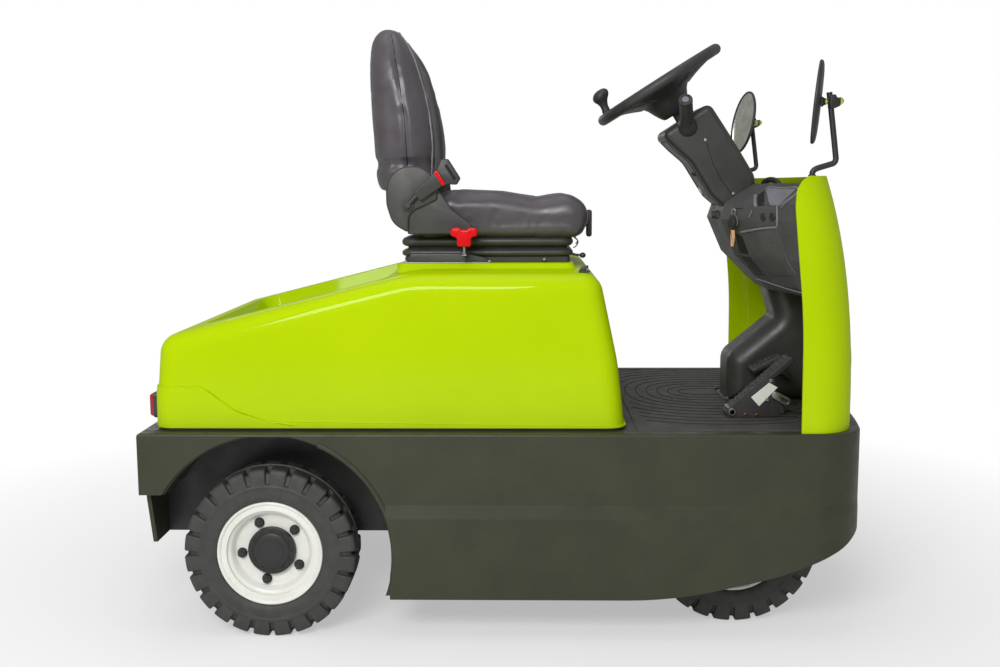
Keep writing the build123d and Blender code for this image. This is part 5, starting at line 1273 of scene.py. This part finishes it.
def make_ignition():
    """Ignition switch where the CAD barrel is, and the key with its ring, fob and tag."""
    low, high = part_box("dash_controls")
    middle = (low + high) / 2
    barrel = turned_rod(Vector((high.x, middle.y, middle.z)), Vector((low.x, middle.y, middle.z)),
                        BARREL_PROFILE)
    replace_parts(finish_piece("ignition_switch", barrel, "black_plastic"), "dash_controls")
    bow = small_ring(at(1108, -164, 978), Vector((0.0036, -0.0024, 0)), 0.008, 1.7, 20)
    ring = small_ring(at(1107, -167, 955), Vector((0.008, -0.0136, 0)), 0.016, 1.2, 32)
    finish_piece("ignition_key", joined([bow, ring]), "steel")
    fob_at = at(1106, -166, 952)
    fob = turned_rod(fob_at, fob_at + Vector((-0.85, -0.5, 0)), FOB_PROFILE, 32)
    finish_piece("ignition_key_fob", fob, "black_plastic")
    finish_piece("ignition_key_tag", slab(TAG_OUTLINE, -168, -164.5, 0.8), "tag_tan")


make_dash_detail()
make_ignition()


# Footwell mat with the painted shade of its oval grooves, and the small fixings of the deck

GROOVE_COUNT = 11
GROOVE_CENTRE = (1081, 60)
# half length and half width of the first groove, and what each next one adds
GROOVE_START, GROOVE_STEP = (70, 46), (29, 38)
GROOVE_SQUARENESS = 0.85


def groove_loop(index):
    """Plan of one groove, between an oval and a box, as stations and sides."""
    half = [start + index * step for start, step in zip(GROOVE_START, GROOVE_STEP)]
    return [[centre + reach * copysign(abs(share) ** GROOVE_SQUARENESS, share)
             for centre, reach, share in zip(GROOVE_CENTRE, half, (cos(t), sin(t)))]
            for t in turns(72)]


def make_mat():
    """Grooves as dark lines of painted shade, cut off at the mat's edge, its raised border and the strip
    along its rear edge.
    """
    (x_low, x_high), (_, half), (_, top) = node_box("floor_mat")
    lines = []
    for index in range(GROOVE_COUNT):
        loop = groove_loop(index)
        run = []
        for x, y in loop + loop[:1]:
            inside = x_low + 34 < x < x_high - 16 and abs(y) < half - 16
            if inside:
                run.append(at(x, y, top - 0.2))
            if run and (not inside or [x, y] == loop[0] and len(run) > 2):
                if len(run) > 2:
                    lines.append(run)
                run = []
    # the grooves are dark lines of painted shade, standing just proud of the mat
    groove_shade = joined([tube(run, 1.3, 6) for run in lines])
    finish_piece("floor_mat_grooves", groove_shade, "dark_void")
    side = half - 8
    edge = [(x_low + 26, -side, 6), (x_high - 8, -side, 54), (x_high - 8, side, 54), (x_low + 26, side, 6)]
    border = tube([at(p.x, p.y, top + 0.3) for p in rounded(edge)], 1.8, 8, True)
    strip = plan_stack(oblong(x_low + 2, x_low + 20, 2 - half, half - 2, 3),
                       [(top - 1, 0), (top + 0.8, 0.2), (top + 1.4, 1.4)])
    finish_piece("floor_mat_border", joined([border, strip]), "mat_rubber")


# nut sizes, how far behind the rear plate's face they sit, and their places as side and height
REAR_NUTS = [
    ((17, 9, 5, 12), 12, [(60, 250), (60, 285), (60, 375), (60, 410)]),
    ((15, 7, 4, 9), 0, [(200, 235), (340, 300), (395, 430), (150, 430)]),
]
HEADLAMP_SIDE, HEADLAMP_HEIGHT = 300, 640
HEADLAMP_BACK = [
    # distance behind the lamp's face, radius
    (-2, 50), (1, 50.5), (12, 49), (20, 45), (26, 36), (29, 22), (30, 12), (40, 11), (41, 9), (41.2, 0.1),
]
# circle and wire radius of the bezel, and of the rings in the lens
BEZEL_RING = (43.5, 2.4)
LENS_RINGS = [(34, 0.9), (24, 0.9), (13, 0.9)]


def headlamp_ring(side, circle, radius):
    """Ring laid on the face of a headlamp."""
    loop = [at(1577, side * HEADLAMP_SIDE + circle * cos(t), HEADLAMP_HEIGHT + circle * sin(t))
            for t in turns(48)]
    return tube(laid_on(NODES["headlamps"].data, loop, REARWARD), radius, 8, True)


def make_hardware():
    """Nuts on the rear plate and coupler, and the headlamps' housings, bezels and lens rings."""
    plate = node_box("rear_plate")[0][0]
    turn = Matrix.Rotation(pi / 2, 4, "Z")
    bolts = [moved_nut(sizes, at(plate - behind, side * y, z), turn)
             for side in (1, -1) for sizes, behind, places in REAR_NUTS for y, z in places]
    finish_piece("rear_bolts", joined(bolts), "steel")
    backs = [turned_rod(*[at(station, side * HEADLAMP_SIDE, HEADLAMP_HEIGHT) for station in (1343, 1300)],
                        HEADLAMP_BACK, 40) for side in (1, -1)]
    finish_piece("headlamp_housings", joined(backs), "black_plastic", sharp=40)
    bezels = [headlamp_ring(side, *BEZEL_RING) for side in (1, -1)]
    finish_piece("headlamp_bezels", joined(bezels), "black_plastic", sharp=60)
    rings = [headlamp_ring(side, *ring) for side in (1, -1) for ring in LENS_RINGS]
    finish_piece("headlamp_lens_rings", joined(rings), "lamp_clear")


# height of the hood's proud band by station, in millimetres
BAND_TOP = 588.5
BAND_ROWS = [
    (-300, BAND_TOP), (-180, BAND_TOP), (-150, 587), (-128, 576), (-104, 556), (-80, 538), (-50, 526),
    (0, 510), (60, 499.5), (200, 497.6), (826, 496.6),
]


def band_height(station):
    """Height of the proud band's top edge at a station."""
    for (low, start), (high, end) in zip(BAND_ROWS, BAND_ROWS[1:]):
        if station <= high:
            return start + (end - start) * (station - low) / (high - low)
    return BAND_ROWS[-1][1]


def make_hood_edge():
    """Bead along the top of the hood's proud band, round the back and down both sides."""
    rays = [(at(station, 700, band_height(station)), TO_RIGHT) for station in range(60, -191, -6)]
    for step in range(1, 12):
        turn = pi / 2 * step / 12
        way = Vector((-sin(turn), cos(turn), 0))
        rays.append((at(-190, 370, BAND_TOP) + way * 0.3, -way))
    rays += [(at(-600, y, BAND_TOP), FORWARD) for y in range(366, -1, -12)]
    left = cast_on(NODES["hood"].data, rays)
    right = [Vector((p.x, -p.y, p.z)) for p in left[-2::-1]]
    finish_piece("hood_band_edge", tube(left + right, 1.8, 8), "lime_paint", "hood_lid", sharp=60)


ARCH_STATION, ARCH_HEIGHT, ARCH_RADIUS = 5, 200, 286.5
ARCH_EDGE_SIDE = 475
# the edge's last stretch runs straight down to the skirt's foot
ARCH_FOOT_STATION, ARCH_FOOT_HEIGHTS = 287, (140, 120, 100.5)


def make_arch_edges():
    """Rolled edge round the front of each rear arch, closing the joint between skirt and liner."""
    line = [at(ARCH_STATION + ARCH_RADIUS * cos(t), ARCH_EDGE_SIDE, ARCH_HEIGHT + ARCH_RADIUS * sin(t))
            for t in (radians(degrees) for degrees in range(66, -12, -3))]
    line += [at(ARCH_FOOT_STATION, ARCH_EDGE_SIDE, z) for z in ARCH_FOOT_HEIGHTS]
    finish_piece("arch_edges", both_sides(tube(line, 7, 12)), "dark_paint", sharp=60)


make_mat()
make_hardware()
make_hood_edge()
make_arch_edges()

# CAD edges that a real pressing or casting has rounded
EDGE_WIDTHS = {
    # node: width in millimetres
    "dash": 2.5, "tow_coupler": 2, "rear_plate": 1.2, "hinge_brackets": 0.8, "hinge_leaves": 0.8,
    "battery": 3, "front_axle": 2, "front_left_knuckle": 1, "front_right_knuckle": 1,
    "chassis": 1, "cowl": 1.2, "lower_body": 3.5, "hood": 1.6,
}
for name, width in EDGE_WIDTHS.items():
    edge = NODES[name].modifiers.new("rounded_edges", "BEVEL")
    edge.width, edge.segments, edge.limit_method = width / 1000, 2, "ANGLE"
    edge.angle_limit = radians(30)
    edge.use_clamp_overlap = False
    edge.harden_normals = False


# Floor, light and background

WHITE = (1, 1, 1, 1)
FLOOR_GREY = (0.9, 0.9, 0.9, 1)
SKY_STRENGTH = 0.40


def make_floor():
    """A pale floor that keeps the tug's shadow and turns plain white to the camera further out."""
    bpy.ops.mesh.primitive_plane_add(size=40, location=(0, 0, 0))
    floor = bpy.context.active_object
    floor.name = "floor"
    finish = bpy.data.materials.new("floor_white")
    finish.use_nodes = True
    tree = finish.node_tree
    shader = tree.nodes["Principled BSDF"]
    for socket, value in (("Base Color", FLOOR_GREY), ("Roughness", 0.9), ("Specular IOR Level", 0)):
        shader.inputs[socket].default_value = value
    place = node(tree, "ShaderNodeTexCoord")
    reach = tree.nodes.new("ShaderNodeVectorMath")
    reach.operation = "LENGTH"
    wire(tree, place, reach, 0, "Object")
    fade = node(tree, "ShaderNodeMapRange", From_Min=0.9, From_Max=2.2, To_Min=0.45, To_Max=1)
    wire(tree, reach, fade, "Value", "Value")
    rays = tree.nodes.new("ShaderNodeLightPath")
    share = tree.nodes.new("ShaderNodeMath")
    share.operation = "MULTIPLY"
    wire(tree, fade, share, 0)
    wire(tree, rays, share, 1, "Is Camera Ray")
    mix = tree.nodes.new("ShaderNodeMixShader")
    wire(tree, share, mix, "Fac")
    wire(tree, shader, mix, 1)
    wire(tree, node(tree, "ShaderNodeEmission", Color=WHITE), mix, 2)
    wire(tree, mix, tree.nodes["Material Output"], "Surface")
    floor.data.materials.append(finish)


def make_sky():
    """Soft light from all round, seen by the camera as plain white."""
    world = bpy.data.worlds.new("studio")
    bpy.context.scene.world = world
    world.use_nodes = True
    tree = world.node_tree
    lit = tree.nodes["Background"]
    lit.inputs["Color"].default_value = WHITE
    lit.inputs["Strength"].default_value = SKY_STRENGTH
    mix = tree.nodes.new("ShaderNodeMixShader")
    wire(tree, tree.nodes.new("ShaderNodeLightPath"), mix, "Fac", "Is Camera Ray")
    wire(tree, lit, mix, 1)
    wire(tree, node(tree, "ShaderNodeBackground", Color=WHITE), mix, 2)
    wire(tree, mix, tree.nodes["World Output"], "Surface")


# name, place, aim, width, height, watts
LAMPS = [
    ("key_lamp", (-0.9, -3.7, 2.6), (0.1, 0, 0.6), 2, 1.2, 100),
    ("top_lamp", (-0.4, -0.2, 4.2), (0, 0, 0), 3.6, 2.4, 26),
    ("far_lamp", (-1.6, 4.2, 1.8), (-0.5, 0, 0.8), 1.5, 0.5, 9),
]


def make_lamps():
    """Area lamps, each turned to its aim."""
    for name, place, aim, width, height, watts in LAMPS:
        data = bpy.data.lights.new(name, "AREA")
        data.shape = "RECTANGLE"
        data.size, data.size_y, data.energy = width, height, watts
        lamp = bpy.data.objects.new(name, data)
        lamp.location = place
        lamp.rotation_euler = (Vector(aim) - Vector(place)).to_track_quat("-Z", "Y").to_euler()
        bpy.context.scene.collection.objects.link(lamp)


make_floor()
make_sky()
make_lamps()
bpy.context.scene.view_settings.view_transform = "Standard"
